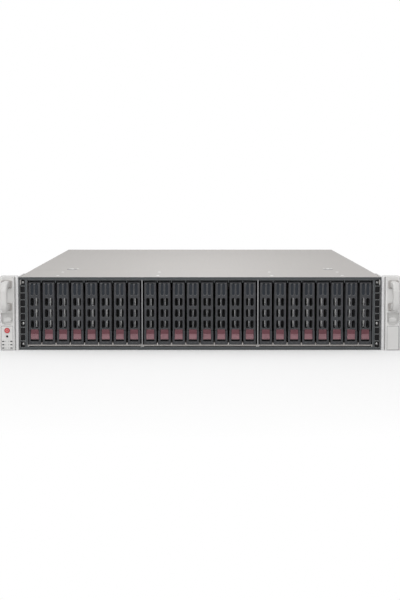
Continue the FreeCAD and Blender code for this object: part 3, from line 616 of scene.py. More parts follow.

# %% [markdown]
# The handle is a channel. Its front is cut by three rows of paired slots, with a pair of blind recesses
# above them. A prism with a notch for the button gives the outer form, and the slot cutter takes out the
# channel, the slots and the recesses, because each of them is a grid of slots. The floor of the recesses
# is painted darker and bluer, as painted shade in the recesses.

# %% Tray handle
handle_plate = 1.8
handle_wall = 1.3
handle_inset = 0.5
handle_clip = 2.4
slot_width = 4.2
slot_web = 1.32
slot_height = 9.85
slot_bridge = 3.7
slot_rows = 3
slot_margin = 1.15
slot_flat = 0.05
slot_corner = slot_width / 2 - slot_flat
slot_pitch = slot_width + slot_web
slot_step = slot_height + slot_bridge
slot_start = button_high.z + button_gap + slot_margin
recess_bridge = 2.9
recess_margin = 2.5
recess_depth = 1.0
recess_bottom = slot_start + slot_rows * slot_step - slot_bridge + recess_bridge
recess_top = tray_high.z - recess_margin
recess_floor = tray_front + recess_depth
NEAR = 0.1


def tray_handle():
    foot, top, back, half = handle_low.z, tray_high.z, handle_high.y, half_tray - handle_inset
    notch_top = button_high.z + button_gap
    outline = [(-half, foot), (-notch_half, foot), (-notch_half, notch_top), (notch_half, notch_top),
               (notch_half, foot), (half, foot), (half, top), (-half, top)]
    shape = bmesh.new()
    add_prism(shape, outline, along_y, tray_front, back)
    upper = [edge for edge in shape.edges
             if all(vert.co.z > top - TINY and vert.co.y < tray_front + TINY for vert in edge.verts)]
    bmesh.ops.bevel(shape, geom=upper, offset=handle_clip, segments=1, affect="EDGES")
    work = work_object("tray_handle", shape, CARRIER)
    left, start = -slot_pitch / 2, tray_front - cut_over
    cut_slots(work, (0.0, tray_front + handle_plate, (foot + top) / 2),
              (tray_width - 2 * handle_wall, top - foot + 2 * cut_over), back - tray_front, 0.0)
    cut_slots(work, (left, start, slot_start + slot_height / 2), (slot_width, slot_height),
              handle_plate + 2 * cut_over, slot_corner, (2, slot_rows), (slot_pitch, slot_step))
    cut_slots(work, (left, start, (recess_bottom + recess_top) / 2),
              (slot_width, recess_top - recess_bottom), recess_depth + cut_over, slot_corner, (2, 1),
              (slot_pitch, 0.0))
    return soften(work, MOULDED_EDGE)


def on_recess_floor(face):
    return abs(face.center.y - recess_floor) < NEAR and face.center.z > recess_bottom


# The floor of the blind recesses gets the darker, bluer finish: painted shade.
handle_mesh = painted(plain_mesh(tray_handle()), PAINTED_RECESS_SHADE, on_recess_floor)
print("handle of", len(handle_mesh.polygons), "faces")

# %% [markdown]
# The carrier behind the handle is two rails on a bezel, with a pocket for the button and a window that
# shows the drive. Its side view is one outline, pushed across the tray's width.

# %% Tray carrier
button_room = 8.6
window_edge = 2.9
window_margin = 3.5
window_corner = 1.2


def tray_carrier():
    low, high, back = tray_low.z, tray_high.z, tray_high.y
    outline = [(tray_front, low), (back, low), (back, low + tray_rail), (bezel_back, low + tray_rail),
               (bezel_back, high - tray_rail), (back, high - tray_rail), (back, high), (bezel_front, high),
               (bezel_front, lower_top), (tray_front, lower_top)]
    shape = bmesh.new()
    add_prism(shape, outline, along_x, -half_tray, half_tray)
    work = work_object("tray_carrier", shape, CARRIER)
    pocket_low, pocket_high = low + sill_height, lower_top + cut_over
    cut_slots(work, (0.0, tray_front - cut_over, (pocket_low + pocket_high) / 2),
              (2 * notch_half, pocket_high - pocket_low), cut_over + button_room, 0.0)
    window_low, window_high = lower_top + window_margin, high - tray_rail - window_margin
    cut_slots(work, (0.0, bezel_front - cut_over, (window_low + window_high) / 2),
              (tray_width - 2 * window_edge, window_high - window_low), bezel_sheet + 2 * cut_over,
              window_corner)
    return soften(work, MOULDED_EDGE)


carrier_parts = [tray_carrier()]
print("carrier with a window of", round(tray_width - 2 * window_edge, 1), "mm")

# %% [markdown]
# The handle turns on two lugs of the carrier. They have a round nose, so that it clears them all the way.
# Two smoked windows for the tray's lights sit in the sill under the button.

# %% Hinge lugs and light windows
FINE_EDGE = 0.15
hinge_inset = 4.0
lug_half = 1.8
lug_width = 1.6
lug_inset = 1.8
nose_steps = 8
light_width = 2.4
light_height = 0.9
light_offset = 2.6
light_proud = 0.08
light_depth = 0.5
light_edge = 0.06


def hinge_lugs():
    hinge_y, hinge_z = tray_front + hinge_inset, tray_high.z - hinge_inset
    turns = [math.radians(90 + 180 * step / nose_steps) for step in range(nose_steps + 1)]
    outline = [(hinge_y + lug_half * math.cos(turn), hinge_z + lug_half * math.sin(turn)) for turn in turns]
    outline += [(bezel_front, hinge_z - lug_half), (bezel_front, hinge_z + lug_half)]
    shape = bmesh.new()
    for side in (-1, 1):
        outer = side * (half_tray - lug_inset)
        add_prism(shape, outline, along_x, outer - side * lug_width, outer)
    return soften(work_object("hinge_lugs", shape, CARRIER), FINE_EDGE)


def light_windows():
    shape = bmesh.new()
    inner, outer = light_offset - light_width / 2, light_offset + light_width / 2
    middle = tray_low.z + sill_height / 2
    add_pair(shape, (inner, tray_front - light_proud, middle - light_height / 2),
             (outer, tray_front + light_depth, middle + light_height / 2))
    return soften(work_object("light_windows", shape, SMOKED), light_edge)


carrier_parts += [hinge_lugs(), light_windows()]
print("carrier of", len(carrier_parts), "shapes")

# %% [markdown]
# The release button is pushed in with a thumb, so its lower half has saw-tooth ridges. Their front faces are
# painted paler, a painted highlight for the light that the ridges catch. They are part of its side view,
# which is pushed across like the carrier's. The button is a little wider at its foot, as in the mould.

# %% Release button
ridge_count = 4
ridge_pitch = 1.6
ridge_depth = 0.8
ridge_top = button_low.z + ridge_count * ridge_pitch
button_taper = 0.06
button_edge = 0.18
FACING_FRONT = -0.5


def release_button():
    face, back, foot, top = button_low.y, button_high.y, button_low.z, button_high.z
    outline = []
    for ridge in range(ridge_count):
        start = foot + ridge * ridge_pitch
        outline += [(face, start), (face + ridge_depth, start + ridge_pitch)]
    outline += [(face, ridge_top), (face, top), (back, top), (back, foot)]
    shape = bmesh.new()
    add_prism(shape, outline, along_x, -button_half, button_half)
    for vert in shape.verts:
        vert.co.x *= 1.0 - button_taper * (vert.co.z - foot) / (top - foot)
    return soften(work_object("release_button", shape, BURGUNDY), button_edge)


# The front faces of the ridges are painted paler burgundy: a painted highlight.
button_mesh = painted(plain_mesh(release_button()), RIDGE_HIGHLIGHT,
                      lambda face: face.normal.y < FACING_FRONT and face.center.z < ridge_top)
print("button of", len(button_mesh.polygons), "faces")

# %% [markdown]
# A disk drive of this size is a cast base with a pressed steel lid on one side and a circuit board on the
# other. It shows when a tray is pulled out. Its dark nose has a channel with a bright rib, which shines
# through the slots. Each shell has its own material and softened edges, and the board carries a few chips,
# each given as the place of its middle and its size.

# %% Disk drive
drive_thickness = 14.4
drive_width = 69.85
drive_length = 100.45
drive_gap = 1.0
lid_sheet = 0.6
lid_inset = 1.2
board_sheet = 1.0
board_inset = 5.0
chips = [(30.0, 20.0, 14.0), (62.0, 42.0, 9.0), (80.0, 18.0, 7.0)]
chip_rise = 0.45
nose_depth = 9.0
nose_skin = 1.0
channel_width = 7.0
channel_margin = 3.0
channel_corner = 1.0
rib_width = 2.2
rib_proud = 0.6
cast_edge = 0.5
lid_edge = 0.35
board_edge = 0.2
chip_edge = 0.12
rib_edge = 0.2


def disk_drive():
    start, foot = bezel_back + drive_gap, tray_low.z + tray_rail
    end, top, half = start + drive_length, foot + drive_width, drive_thickness / 2
    left, right, seat = -half + board_sheet, half - lid_sheet, start + nose_depth
    base = block_object("drive_base", (left, seat, foot), (right, end, top), CASTING)
    lid = block_object("drive_lid", (right, start + lid_inset, foot + lid_inset),
                       (half, end - lid_inset, top - lid_inset), LID)
    board = block_object("drive_board", (-half + chip_rise, start + board_inset, foot + board_inset),
                         (left, end - board_inset, top - board_inset), BOARD)
    shape = bmesh.new()
    for y, z, size in chips:
        corner = Vector((-half, start + y - size / 2, foot + z - size / 2))
        add_block(shape, corner, corner + Vector((chip_rise, size, size)))
    chip_work = work_object("drive_chips", shape, BLACK)
    nose = block_object("drive_nose", (left, start, foot), (right, seat, top), BLACK)
    cut_slots(nose, (0.0, start - cut_over, (foot + top) / 2),
              (channel_width, drive_width - 2 * channel_margin), nose_depth - nose_skin + cut_over,
              channel_corner)
    rib = block_object("drive_rib", (-rib_width / 2, seat - nose_skin - rib_proud, foot + channel_margin),
                       (rib_width / 2, seat - nose_skin, top - channel_margin), BRIGHT)
    return [soften(base, cast_edge), soften(lid, lid_edge), soften(board, board_edge),
            soften(chip_work, chip_edge), soften(nose, SHEET_EDGE), soften(rib, rib_edge)]


carrier_parts += disk_drive()
carrier_mesh = joined("carrier", carrier_parts)
print("carrier and drive of", len(carrier_mesh.polygons), "faces")

# %% [markdown]
# The pieces of one tray are joined and copied to all places. The two end trays open, so there the handle
# and the button stay separate pieces on their own bodies, and the other trays carry them along.

# %% All trays
def moved(mesh, x):
    copy = mesh.copy()
    copy.transform(Matrix.Translation((x, 0.0, 0.0)))
    return copy


tray_mesh = joined("tray", [carrier_mesh, handle_mesh, button_mesh])
for node in tray_names:
    number = node[-2:]
    low, high = box_mm(node)
    x = (low.x + high.x) / 2
    handle_node, button_node = "tray_handle_" + number, "tray_button_" + number
    if handle_node not in frame["nodes"]:
        to_piece("tray_" + number, moved(tray_mesh, x), "tray_" + number, "tray_and_drive", node)
        continue
    to_piece("carrier_" + number, moved(carrier_mesh, x), "tray_" + number, "tray_and_drive", node)
    to_piece("handle_" + number, moved(handle_mesh, x), "tray_%s_handle" % number, "tray_plastic",
             handle_node)
    to_piece("button_" + number, moved(button_mesh, x), "tray_%s_button" % number, "burgundy_plastic",
             button_node)

# %% [markdown]
# ## Softened copies of the sheet metal and mouldings
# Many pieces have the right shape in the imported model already, but with edges as sharp as a drawing. A
# copy of such a node is merged into a clean mesh, gets the Bevel modifier and its finish, and stands for
# the node. Its stored normals are dropped, because they no longer fit once the edges are softened. The
# thin rear panel is full of windows and keeps its punched edges.

# %% Softened copies
FLAT = math.radians(0.5)
pad_depth = 2.8
scoop_depth = 4.0
pad_rounding = 1.0
pad_steps = 4


def clean_copy(node):
    mesh = frame["nodes"][node].data.copy()
    if "custom_normal" in mesh.attributes:
        mesh.attributes.remove(mesh.attributes["custom_normal"])
    shape = bmesh.new()
    shape.from_mesh(mesh)
    bmesh.ops.scale(shape, vec=(1 / MM,) * 3, verts=shape.verts[:])
    bmesh.ops.remove_doubles(shape, verts=shape.verts[:], dist=TINY)
    bmesh.ops.dissolve_limit(shape, angle_limit=FLAT, verts=shape.verts[:], edges=shape.edges[:])
    return shape


def round_pad(shape):
    """Rounds the corners of the raised pad in an ear's scoop."""
    pad_ends = {round(ear_low.y + depth, 2) for depth in (pad_depth, scoop_depth)}
    corners = [edge for edge in shape.edges if {round(vert.co.y, 2) for vert in edge.verts} == pad_ends]
    bmesh.ops.bevel(shape, geom=corners, offset=pad_rounding, segments=pad_steps, affect="EDGES")


def soft_copy(node, material, width):
    shape = clean_copy(node)
    if node in ("left_ear", "right_ear"):
        round_pad(shape)
    work = work_object(node, shape, material)
    return plain_mesh(soften(work, width) if width else work)


def slot_of(node):
    return next(part["material_slot"] for part in frame["record"]["subparts"] if part["node"] == node)


def stand_in(node, mesh):
    """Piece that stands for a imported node. Nodes that move have a body of the same name."""
    to_piece(node + "_soft", mesh, node if node in frame["bodies"] else "chassis", slot_of(node), node)


for node, material, width in (
        ("chassis_tub", ZINC, SHEET_EDGE), ("front_top_plate", ZINC, SHEET_EDGE), ("rear_panel", ZINC, 0.0),
        ("ear_brackets", BRIGHT, SHEET_EDGE), ("left_ear", EAR, 0.4), ("right_ear", EAR, 0.4),
        ("control_plate", EAR, 0.2), ("bare_plate", EAR, 0.2), ("status_light_pipes", SMOKED, 0.1),
        ("main_cover", ZINC, 0.2), ("cover_tab_left", CASTING, SHEET_EDGE),
        ("cover_tab_right", CASTING, SHEET_EDGE), ("reset_button", BLACK, 0.2),
        ("psu_lever_lower", BURGUNDY, 0.4), ("psu_lever_upper", BURGUNDY, 0.4)):
    stand_in(node, soft_copy(node, material, width))

# %% [markdown]
# The cable ports at the back are bright cages. Inside they are painted black, a painted shade that makes the
# mouths look deep.

# %% Port cages
rim_depth = 0.6
port_rim = box_mm("port_cages")[1].y - rim_depth
# Painted shade: the cages are black inside, and only the rim at the mouth is bright steel.
port_mesh = soft_copy("port_cages", BLACK, FINE_EDGE)
stand_in("port_cages", painted(port_mesh, BRIGHT, lambda face: face.center.y > port_rim))

# %% [markdown]
# The cage round the trays is bent from one sheet. Its roof and upper ribs are painted like the face plate.
# The floor and the lower ribs are bare, so they shine between the trays, and the dividers between the
# groups of eight trays are dull grey.

# %% Drive cage
divider_half = 1.6
divider_x = (box_mm("drive_tray_16")[1].x + box_mm("drive_tray_17")[0].x) / 2
cage_mesh = soft_copy("drive_cage", FACE, FINE_EDGE)
painted(cage_mesh, ZINC, lambda face: face.center.z < tray_high.z / 2)
painted(cage_mesh, CASTING, lambda face: abs(abs(face.center.x) - divider_x) < divider_half)
stand_in("drive_cage", cage_mesh)

# %% [markdown]
# ## Bent bars with Geometry Nodes
# The pull handles of the ears and the loops of the power supplies are bars, bent twice. The tree takes a
# bare line with corners, rounds the corners, and sweeps a round-cornered profile along it. A path and a
# profile are easier to change than a cut-out solid.

# %% Bar bender
BEND_STEPS = 10
PROFILE_STEPS = 6


def bar_tree():
    tree, given, made = new_group(
        "Bend bar", "GeometryNodeTree",
        [("Path", "shape"), ("Bend", "value"), ("Width", "value"), ("Height", "value"), ("Corner", "value"),
         ("Material", "material")], [("Bar", "shape")])
    line = result(tree, "GeometryNodeMeshToCurve", {"Mesh": given["Path"]})
    bent = rounded(tree, line, given["Bend"], BEND_STEPS)
    level = result(tree, "GeometryNodeSetCurveNormal", {"Curve": bent, "Normal": (1.0, 0.0, 0.0)},
                   mode="FREE")
    bar = swept_slot(tree, level, given, PROFILE_STEPS)
    return end_tree(tree, bar, given["Material"], made["Bar"])


BARS = bar_tree()


def point_object(name, points, edges, material, faces=()):
    mesh = bpy.data.meshes.new(name)
    mesh.from_pydata(points, edges, faces)
    mesh.materials.append(material)
    return new_object(name, mesh)


def bent_bar(name, x, seat, reach, low, high, size, bend, corner, material):
    """Bar from a seat (y) out to a reach (y) and back, between two heights. size is (width, thickness)."""
    inset = size[1] / 2
    out = reach - math.copysign(inset, reach - seat)
    points = [(x, seat, low + inset), (x, out, low + inset), (x, out, high - inset), (x, seat, high - inset)]
    work = point_object(name, points, [(0, 1), (1, 2), (2, 3)], material)
    return use_tree(work, BARS, {"Bend": bend, "Width": size[0], "Height": size[1], "Corner": corner,
                                 "Material": material})


print("bar bender:", len(BARS.nodes), "nodes")

# %% [markdown]
# Each pull handle stands on two thin feet that spread its load on the ear. The feet have the darker zinc
# finish, partly their own steel and partly painted shade at the ends of the handle.

# %% Pull handles
pull_size = (8.0, 8.4)
pull_bend = 7.4
pull_corner = 2.6
bar_sink = 0.2
foot_edge = 0.6
foot_sheet = 2.0
foot_corner = 0.7
pull_low, pull_high = box_mm("pull_handles")
ear_middle = (ear_low.x + ear_high.x) / 2
foot_half = pull_high.x - ear_middle
low, high = pull_low.z + foot_edge, pull_high.z - foot_edge
pull_parts = []
for x in (-ear_middle, ear_middle):
    pull_parts.append(bent_bar("pull_bar", x, pull_high.y + bar_sink, pull_low.y, low, high, pull_size,
                               pull_bend, pull_corner, PULL))
    feet = bmesh.new()
    for bottom in (low, high - pull_size[1]):
        add_block(feet, (x - foot_half, pull_high.y - foot_sheet, bottom - foot_edge),
                  (x + foot_half, pull_high.y, bottom + pull_size[1] + foot_edge))
    # The feet get the darker zinc finish, partly their own steel and partly painted shade at the handle's
    # ends.
    pull_parts.append(soften(work_object("pull_feet", feet, ZINC), foot_corner, segments=3))
stand_in("pull_handles", joined("pulls", pull_parts))

# %% [markdown]
# Thin lines show where the plates are let into the ears, and a strip closes the slit between an ear and
# its bracket, which would look like a deep black cut otherwise.

# %% Joints of the ears
line_width = 0.5
line_proud = 0.04
line_sink = 0.3
bracket_slit = 0.5
strip_back = 2.6
strip_bite = 0.05


def add_frame(shape, low, high, y):
    """Four thin bars round a rectangle of the x and z of two corners."""
    front, back, half = y - line_proud, y + line_sink, line_width / 2
    for z in (low.z, high.z):
        add_block(shape, (low.x - half, front, z - half), (high.x + half, back, z + half))
    for x in (low.x, high.x):
        add_block(shape, (x - half, front, low.z + half), (x + half, back, high.z - half))


lines, slit_strips = bmesh.new(), bmesh.new()
for plate in ("control_plate", "bare_plate"):
    low, high = box_mm(plate)
    add_frame(lines, low, high, low.y)
add_pair(slit_strips, (ear_low.x - bracket_slit - strip_bite, ear_low.y + strip_back, ear_low.z),
         (ear_low.x + strip_bite, ear_high.y, ear_high.z))
joint_parts = [work_object("plate_lines", lines, CASTING), work_object("ear_strips", slit_strips, EAR)]
to_piece("ear_joints", joined("ear_joints", joint_parts), "chassis", slot_of("left_ear"))

# %% [markdown]
# A power supply is a closed steel box. Its black inlet is a moulding set into the back, with bright
# blades, and a pull loop stands beside the grille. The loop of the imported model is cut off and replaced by
# a bent bar.

# %% Power supplies
supply_proud = 1.0
inlet_width = 20.0
inlet_inset = 1.5
inlet_lift = 12.5
inlet_top = 37.5
inlet_reach = 19.2
blade_inset = 3.0
blade_reach = 15.9
blade_end = 8.9
paint_over = 0.2
loop_offset = 7.0
loop_size = (6.0, 6.0)
loop_margin = 3.0
loop_bend = 6.0
loop_corner = 1.8


def power_supply(node):
    low, high = box_mm(node)
    back = panel_back + supply_proud
    shape = clean_copy(node)
    shape.normal_update()
    loop = [face for face in shape.faces
            if face.calc_center_median().y > back + math.copysign(TINY, face.normal.y)]
    bmesh.ops.delete(shape, geom=loop, context="FACES")
    mesh = plain_mesh(soften(work_object(node, shape, SUPPLY), FINE_EDGE))

    def in_inlet(face, inset, reach, end):
        x, y, z = face.center
        inset -= paint_over
        return (high.x - inlet_inset - inlet_width + inset < x < high.x - inlet_inset - inset
                and low.z + inlet_lift + inset < z < low.z + inlet_top - inset
                and back - reach < y < back - end)

    painted(mesh, BLACK, lambda face: in_inlet(face, 0.0, inlet_reach, -cut_over))
    painted(mesh, BRIGHT, lambda face: in_inlet(face, blade_inset, blade_reach, blade_end))
    bar = bent_bar("psu_loop", low.x + loop_offset, back - bar_sink, high.y, low.z + loop_margin,
                   high.z - loop_margin, loop_size, loop_bend, loop_corner, BLACK)
    stand_in(node, joined(node, [mesh, bar]))


power_supply("power_supply_lower")
power_supply("power_supply_upper")

# %% [markdown]
# ## Rivets and screws with Geometry Nodes
# Fasteners are the same dome many times. The tree squashes the upper half of a sphere into a dome and its
# lower half into a flat seat, cuts a six-sided socket where one is asked for, and sets it on every point.

# %% Fastener setter
HEAD_SEGMENTS = 20
HEAD_RINGS = 10
SOCKET_SIDES = 6


def fastener_tree():
    tree, given, made = new_group(
        "Set fasteners", "GeometryNodeTree",
        [("Points", "shape"), ("Radius", "value"), ("Height", "value"), ("Socket", "value"),
         ("Turn", "vector"), ("Material", "material")], [("Heads", "shape")])
    ball = result(tree, "GeometryNodeMeshUVSphere",
                  {"Segments": HEAD_SEGMENTS, "Rings": HEAD_RINGS, "Radius": given["Radius"]})
    place = add_node(tree, "ShaderNodeSeparateXYZ", {"Vector": result(tree, "GeometryNodeInputPosition")})
    squash = maths(tree, "DIVIDE", given["Height"], given["Radius"])
    height = maths(tree, "MULTIPLY", maths(tree, "MAXIMUM", place["Z"], 0.0), squash)
    point = result(tree, "ShaderNodeCombineXYZ", {"X": place["X"], "Y": place["Y"], "Z": height})
    dome = result(tree, "GeometryNodeSetPosition", {"Geometry": ball, "Position": point})
    socket = result(tree, "GeometryNodeMeshCylinder",
                    {"Vertices": SOCKET_SIDES, "Radius": given["Socket"], "Depth": given["Height"]})
    tool = result(tree, "GeometryNodeTransform",
                  {"Geometry": socket, "Translation": direction(tree, "Z", given["Height"])})
    has_socket = result(tree, "FunctionNodeCompare", {"A": given["Socket"], "B": 0.0}, data_type="FLOAT",
                        operation="GREATER_THAN")
    cut = cut_away(tree, dome, tool)
    head = result(tree, "GeometryNodeSwitch", {"Switch": has_socket, "False": dome, "True": cut},
                  input_type="GEOMETRY")
    turn = result(tree, "FunctionNodeEulerToRotation", {"Euler": given["Turn"]})
    return end_tree(tree, set_on(tree, given["Points"], head, turn), given["Material"], made["Heads"])


FASTENERS = fastener_tree()
QUARTER = math.radians(90)
UP, FRONT, BACK = (0.0, 0.0, 0.0), (QUARTER, 0.0, 0.0), (-QUARTER, 0.0, 0.0)
RIGHT, LEFT = (0.0, QUARTER, 0.0), (0.0, -QUARTER, 0.0)


def fasteners(name, points, turn, radius, height, socket=0.0):
    work = point_object(name, points, [], BRIGHT)
    return use_tree(work, FASTENERS, {"Radius": radius, "Height": height, "Socket": socket, "Turn": turn,
                                      "Material": BRIGHT})


print("fastener setter:", len(FASTENERS.nodes), "nodes")

# %% [markdown]
# Rivets hold the fixed top plate. Screws hold the cage and the brackets of the ears at both sides, and the
# rear panel. The main cover has small dimples, and each release tab has a stud to press on. A head is its
# radius, its height and the size of its socket.

# %% Rivets and screws
RIVET = (2.0, 0.6)
DIMPLE = (1.5, 0.45)
STUD = (2.6, 0.8)
SIDE_SCREW = (2.6, 0.8, 1.1)
REAR_SCREW = (2.7, 1.4, 1.2)
sink = 0.05
bracket_sheet = 1.6
top = cover_high.z - sink
rivets = [(x, front_y + y, top) for x in (-174.0, -51.5, 88.0, 174.0) for y in (26.5, 89.0)]
dimples = [(x + dx, cover_low.y + dy, top)
           for x in (-167.0, 167.0) for dx, dy in ((-4.0, 22.0), (6.0, 26.0))]
rear_screws = [(x, panel_back - sink, z) for x in (-208.0, -60.0, 40.0, 140.0) for z in (7.0, 81.0)]
cage_screws = [(face_high.x - sink, front_y + y, z) for y in (68.0, 112.0) for z in (9.0, 79.0)]
tail_screws = [(face_high.x + bracket_sheet - sink, front_y + 46.0, z) for z in (22.0, 66.0)]
right_screws = cage_screws + tail_screws
left_screws = [(-x, y, z) for x, y, z in right_screws]
fixed = [fasteners("rivets", rivets, UP, *RIVET), fasteners("rear_screws", rear_screws, BACK, *REAR_SCREW),
         fasteners("right_screws", right_screws, RIGHT, *SIDE_SCREW),
         fasteners("left_screws", left_screws, LEFT, *SIDE_SCREW)]
to_piece("fixed_fasteners", joined("fixed_fasteners", fixed), "chassis", "bright_steel")
dimple_mesh = plain_mesh(fasteners("dimples", dimples, UP, *DIMPLE))
to_piece("cover_dimples", dimple_mesh, "main_cover", "bright_steel")
for tab in ("cover_tab_left", "cover_tab_right"):
    low, high = box_mm(tab)
    stud = fasteners("stud", [((low.x + high.x) / 2, (low.y + high.y) / 2, high.z - sink)], UP, *STUD)
    to_piece(tab.replace("tab", "stud"), plain_mesh(stud), tab, "bright_steel")

# %% [markdown]
# Behind the vents of the face plate a dark strip closes the gap beside the cage. Its three screws shine
# through the slots.

# %% Strips behind the vents
STRIP_SCREW = (1.7, 0.9)
body_sheet = 1.2
strip_setback = 6.0
strip_sheet = 1.2
strip_inner = 209.7
strip_foot = 1.3
strip_top = 1.5
strip_edge = 0.1
screw_vents = (9, 3, 0)
strip_front = front_y + strip_setback
vent_strips = bmesh.new()
add_pair(vent_strips, (strip_inner, strip_front, face_low.z + strip_foot),
         (face_high.x - body_sheet, strip_front + strip_sheet, face_high.z - strip_top))
screws = [(x, strip_front + sink, vent_margin + (vent + 0.5) * vent_pitch)
          for x in (-vent_middle, vent_middle) for vent in screw_vents]
backing = [soften(work_object("strips", vent_strips, BLACK), strip_edge),
           fasteners("strip_screws", screws, FRONT, *STRIP_SCREW)]
to_piece("vent_strips", joined("vent_strips", backing), "chassis", "dark_paint")

# %% [markdown]
# A perforated sheet lies behind the rear vents, so that air passes and fingers don't. Round holes in
# staggered rows are two grids of the slot cutter, the second half a step aside. Two steps in a corner are
# round enough.

# %% Perforated rear sheet
mesh_left, mesh_right, mesh_foot, mesh_top = -207.0, 41.5, 7.5, 80.6
mesh_sheet = 0.8
mesh_gap = 0.1
hole_size = 4.2
hole_flat = 0.02
hole_corner = hole_size / 2 - hole_flat
hole_pitch = (5.4, 9.36)
hole_inset = (0.25, -0.2)
hole_steps = 2
mesh_back = panel_back - body_sheet - mesh_gap
mesh_front = mesh_back - mesh_sheet
columns = int((mesh_right - mesh_left) / hole_pitch[0]) - 1
rows = int((mesh_top - mesh_foot) / hole_pitch[1])
rear_work = block_object("rear_sheet", (mesh_left, mesh_front, mesh_foot),
                         (mesh_right, mesh_back, mesh_top), SUPPLY)
for shift in (0.5, 1.0):
    first = (mesh_left + (shift + hole_inset[0]) * hole_pitch[0], mesh_front - cut_over,
             mesh_foot + (shift + hole_inset[1]) * hole_pitch[1])
    cut_slots(rear_work, first, (hole_size, hole_size), mesh_sheet + 2 * cut_over, hole_corner,
              (columns, rows), hole_pitch, hole_steps)
to_piece("rear_vent_sheet", plain_mesh(rear_work), "chassis", "zinc_steel")

# %% [markdown]
# ## Control plate marks
# The power button carries the common power sign, a broken ring with a bar. Small plain signs stand between
# the status lights. All of them are thin raised shapes, as printed marks are.

# %% Power button and marks
MARK_PROUD = 0.05
MARK_SINK = 0.2
sign_bar = [(-0.18, 0.5), (0.18, 0.5), (0.18, 1.9), (-0.18, 1.9)]
small_triangle = [(-0.6, -0.45), (0.6, -0.45), (0.0, 0.65)]
light_rows = (2.7, 6.75, 10.8)
light_sign_offset = 1.7
cap_edge = 0.4


def ring_corners(outer, inner, start, end, steps=24):
    """Broken ring from a start angle to an end angle."""
    turns = [math.radians(start + (end - start) * step / steps) for step in range(steps + 1)]
    return ([(outer * math.cos(turn), outer * math.sin(turn)) for turn in turns]
            + [(inner * math.cos(turn), inner * math.sin(turn)) for turn in reversed(turns)])


def add_mark(shape, corners, x, z, y):
    add_prism(shape, corners, lambda a, b, c: (x + a, c, z + b), y - MARK_PROUD, y + MARK_SINK)


cap_low, cap_high = box_mm("power_button")
cap_x, cap_z = (cap_low.x + cap_high.x) / 2, (cap_low.z + cap_high.z) / 2
sign = bmesh.new()
add_mark(sign, ring_corners(outer=1.55, inner=1.2, start=125, end=415), cap_x, cap_z, cap_low.y)
add_mark(sign, sign_bar, cap_x, cap_z, cap_low.y)
cap = soften(work_object("power_cap", clean_copy("power_button"), RED), cap_edge, segments=3)
stand_in("power_button", joined("power_button", [cap, work_object("power_sign", sign, PALE)]))

signs = bmesh.new()
small_ring = ring_corners(outer=0.7, inner=0.45, start=0, end=340)
plate_y = box_mm("control_plate")[0].y
for row, height in enumerate(light_rows):
    for side in (-1, 1):
        corners = small_ring if (row + side) % 2 else small_triangle
        add_mark(signs, corners, cap_x + side * light_sign_offset, height, plate_y)
to_piece("panel_signs", plain_mesh(work_object("panel_signs", signs, INK)), "chassis", "black_plastic")

# %% [markdown]
# ## Control board
# The board of the shelf stands on metal posts and carries a finned heat sink. Both are painted by their
# distance from the board. A few chips and sockets are added, each as the x and y of its middle, width,
# depth and height.

# %% Control board
board_lift = 8.0
board_thick = 1.6
board_parts = [(18.0, 18.0, 12.0, 12.0, 1.5), (40.0, 16.0, 8.0, 8.0, 1.2), (100.0, 20.0, 16.0, 10.0, 1.6),
               (20.0, 60.0, 10.0, 24.0, 5.0), (108.0, 66.0, 8.0, 30.0, 6.0), (60.0, 92.0, 34.0, 6.0, 7.0)]
part_edge = 0.2
board_low = box_mm("control_board")[0]
board_top = board_low.z + board_lift + board_thick
board_middle = board_top - board_thick / 2
board_reach = 0.6 * board_thick
board_mesh = painted(soft_copy("control_board", BOARD, FINE_EDGE), CASTING,
                     lambda face: abs(face.center.z - board_middle) > board_reach)
shape = bmesh.new()
for x, y, width, depth, height in board_parts:
    corner = Vector((board_low.x + x - width / 2, board_low.y + y - depth / 2, board_top - sink))
    add_block(shape, corner, corner + Vector((width, depth, height)))
board_work = soften(work_object("board_parts", shape, BLACK), part_edge)
stand_in("control_board", joined("control_board", [board_mesh, board_work]))

# %% [markdown]
# ## What stays as packed
# Pieces deep inside are hardly seen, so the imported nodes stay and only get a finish.

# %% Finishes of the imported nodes
packed = {"drive_backplane": BOARD, "backplane_sockets": BLACK, "control_panel_board": BOARD,
          "fan_wall": ZINC, "fan_frames": BLACK, "fan_rotor_1": CARRIER, "fan_rotor_2": CARRIER,
          "fan_rotor_3": CARRIER, "psu_cage": ZINC}
for node, material in packed.items():
    mesh = frame["nodes"][node].data
    mesh.materials.clear()
    mesh.materials.append(material)
print("finishes set on", len(packed), "packed nodes")

# %% [markdown]
# ## Floor and background
# The shelf stands on a plain pale floor before white, as in a catalogue. Away from the shelf the floor
# fades into a white glow. Only rays that the camera sees, directly or in a reflection, get that white, so
# that it adds no diffuse light to the object.

# %% Floor and world
WHITE = (1.0, 1.0, 1.0)
floor_colour = (0.86, 0.86, 0.86)
floor_roughness = 0.9
floor_half = 8.0
floor_drop = 0.0004
glow_start = 0.25
glow_end = 0.9
sky_strength = 0.3


def seen_rays(tree):
    """1 for what the camera sees, directly, in a reflection or through glass."""
    rays = add_node(tree, "ShaderNodeLightPath")
    mirrored = maths(tree, "MAXIMUM", rays["Is Glossy Ray"], rays["Is Transmission Ray"])
    return maths(tree, "MAXIMUM", rays["Is Camera Ray"], mirrored)


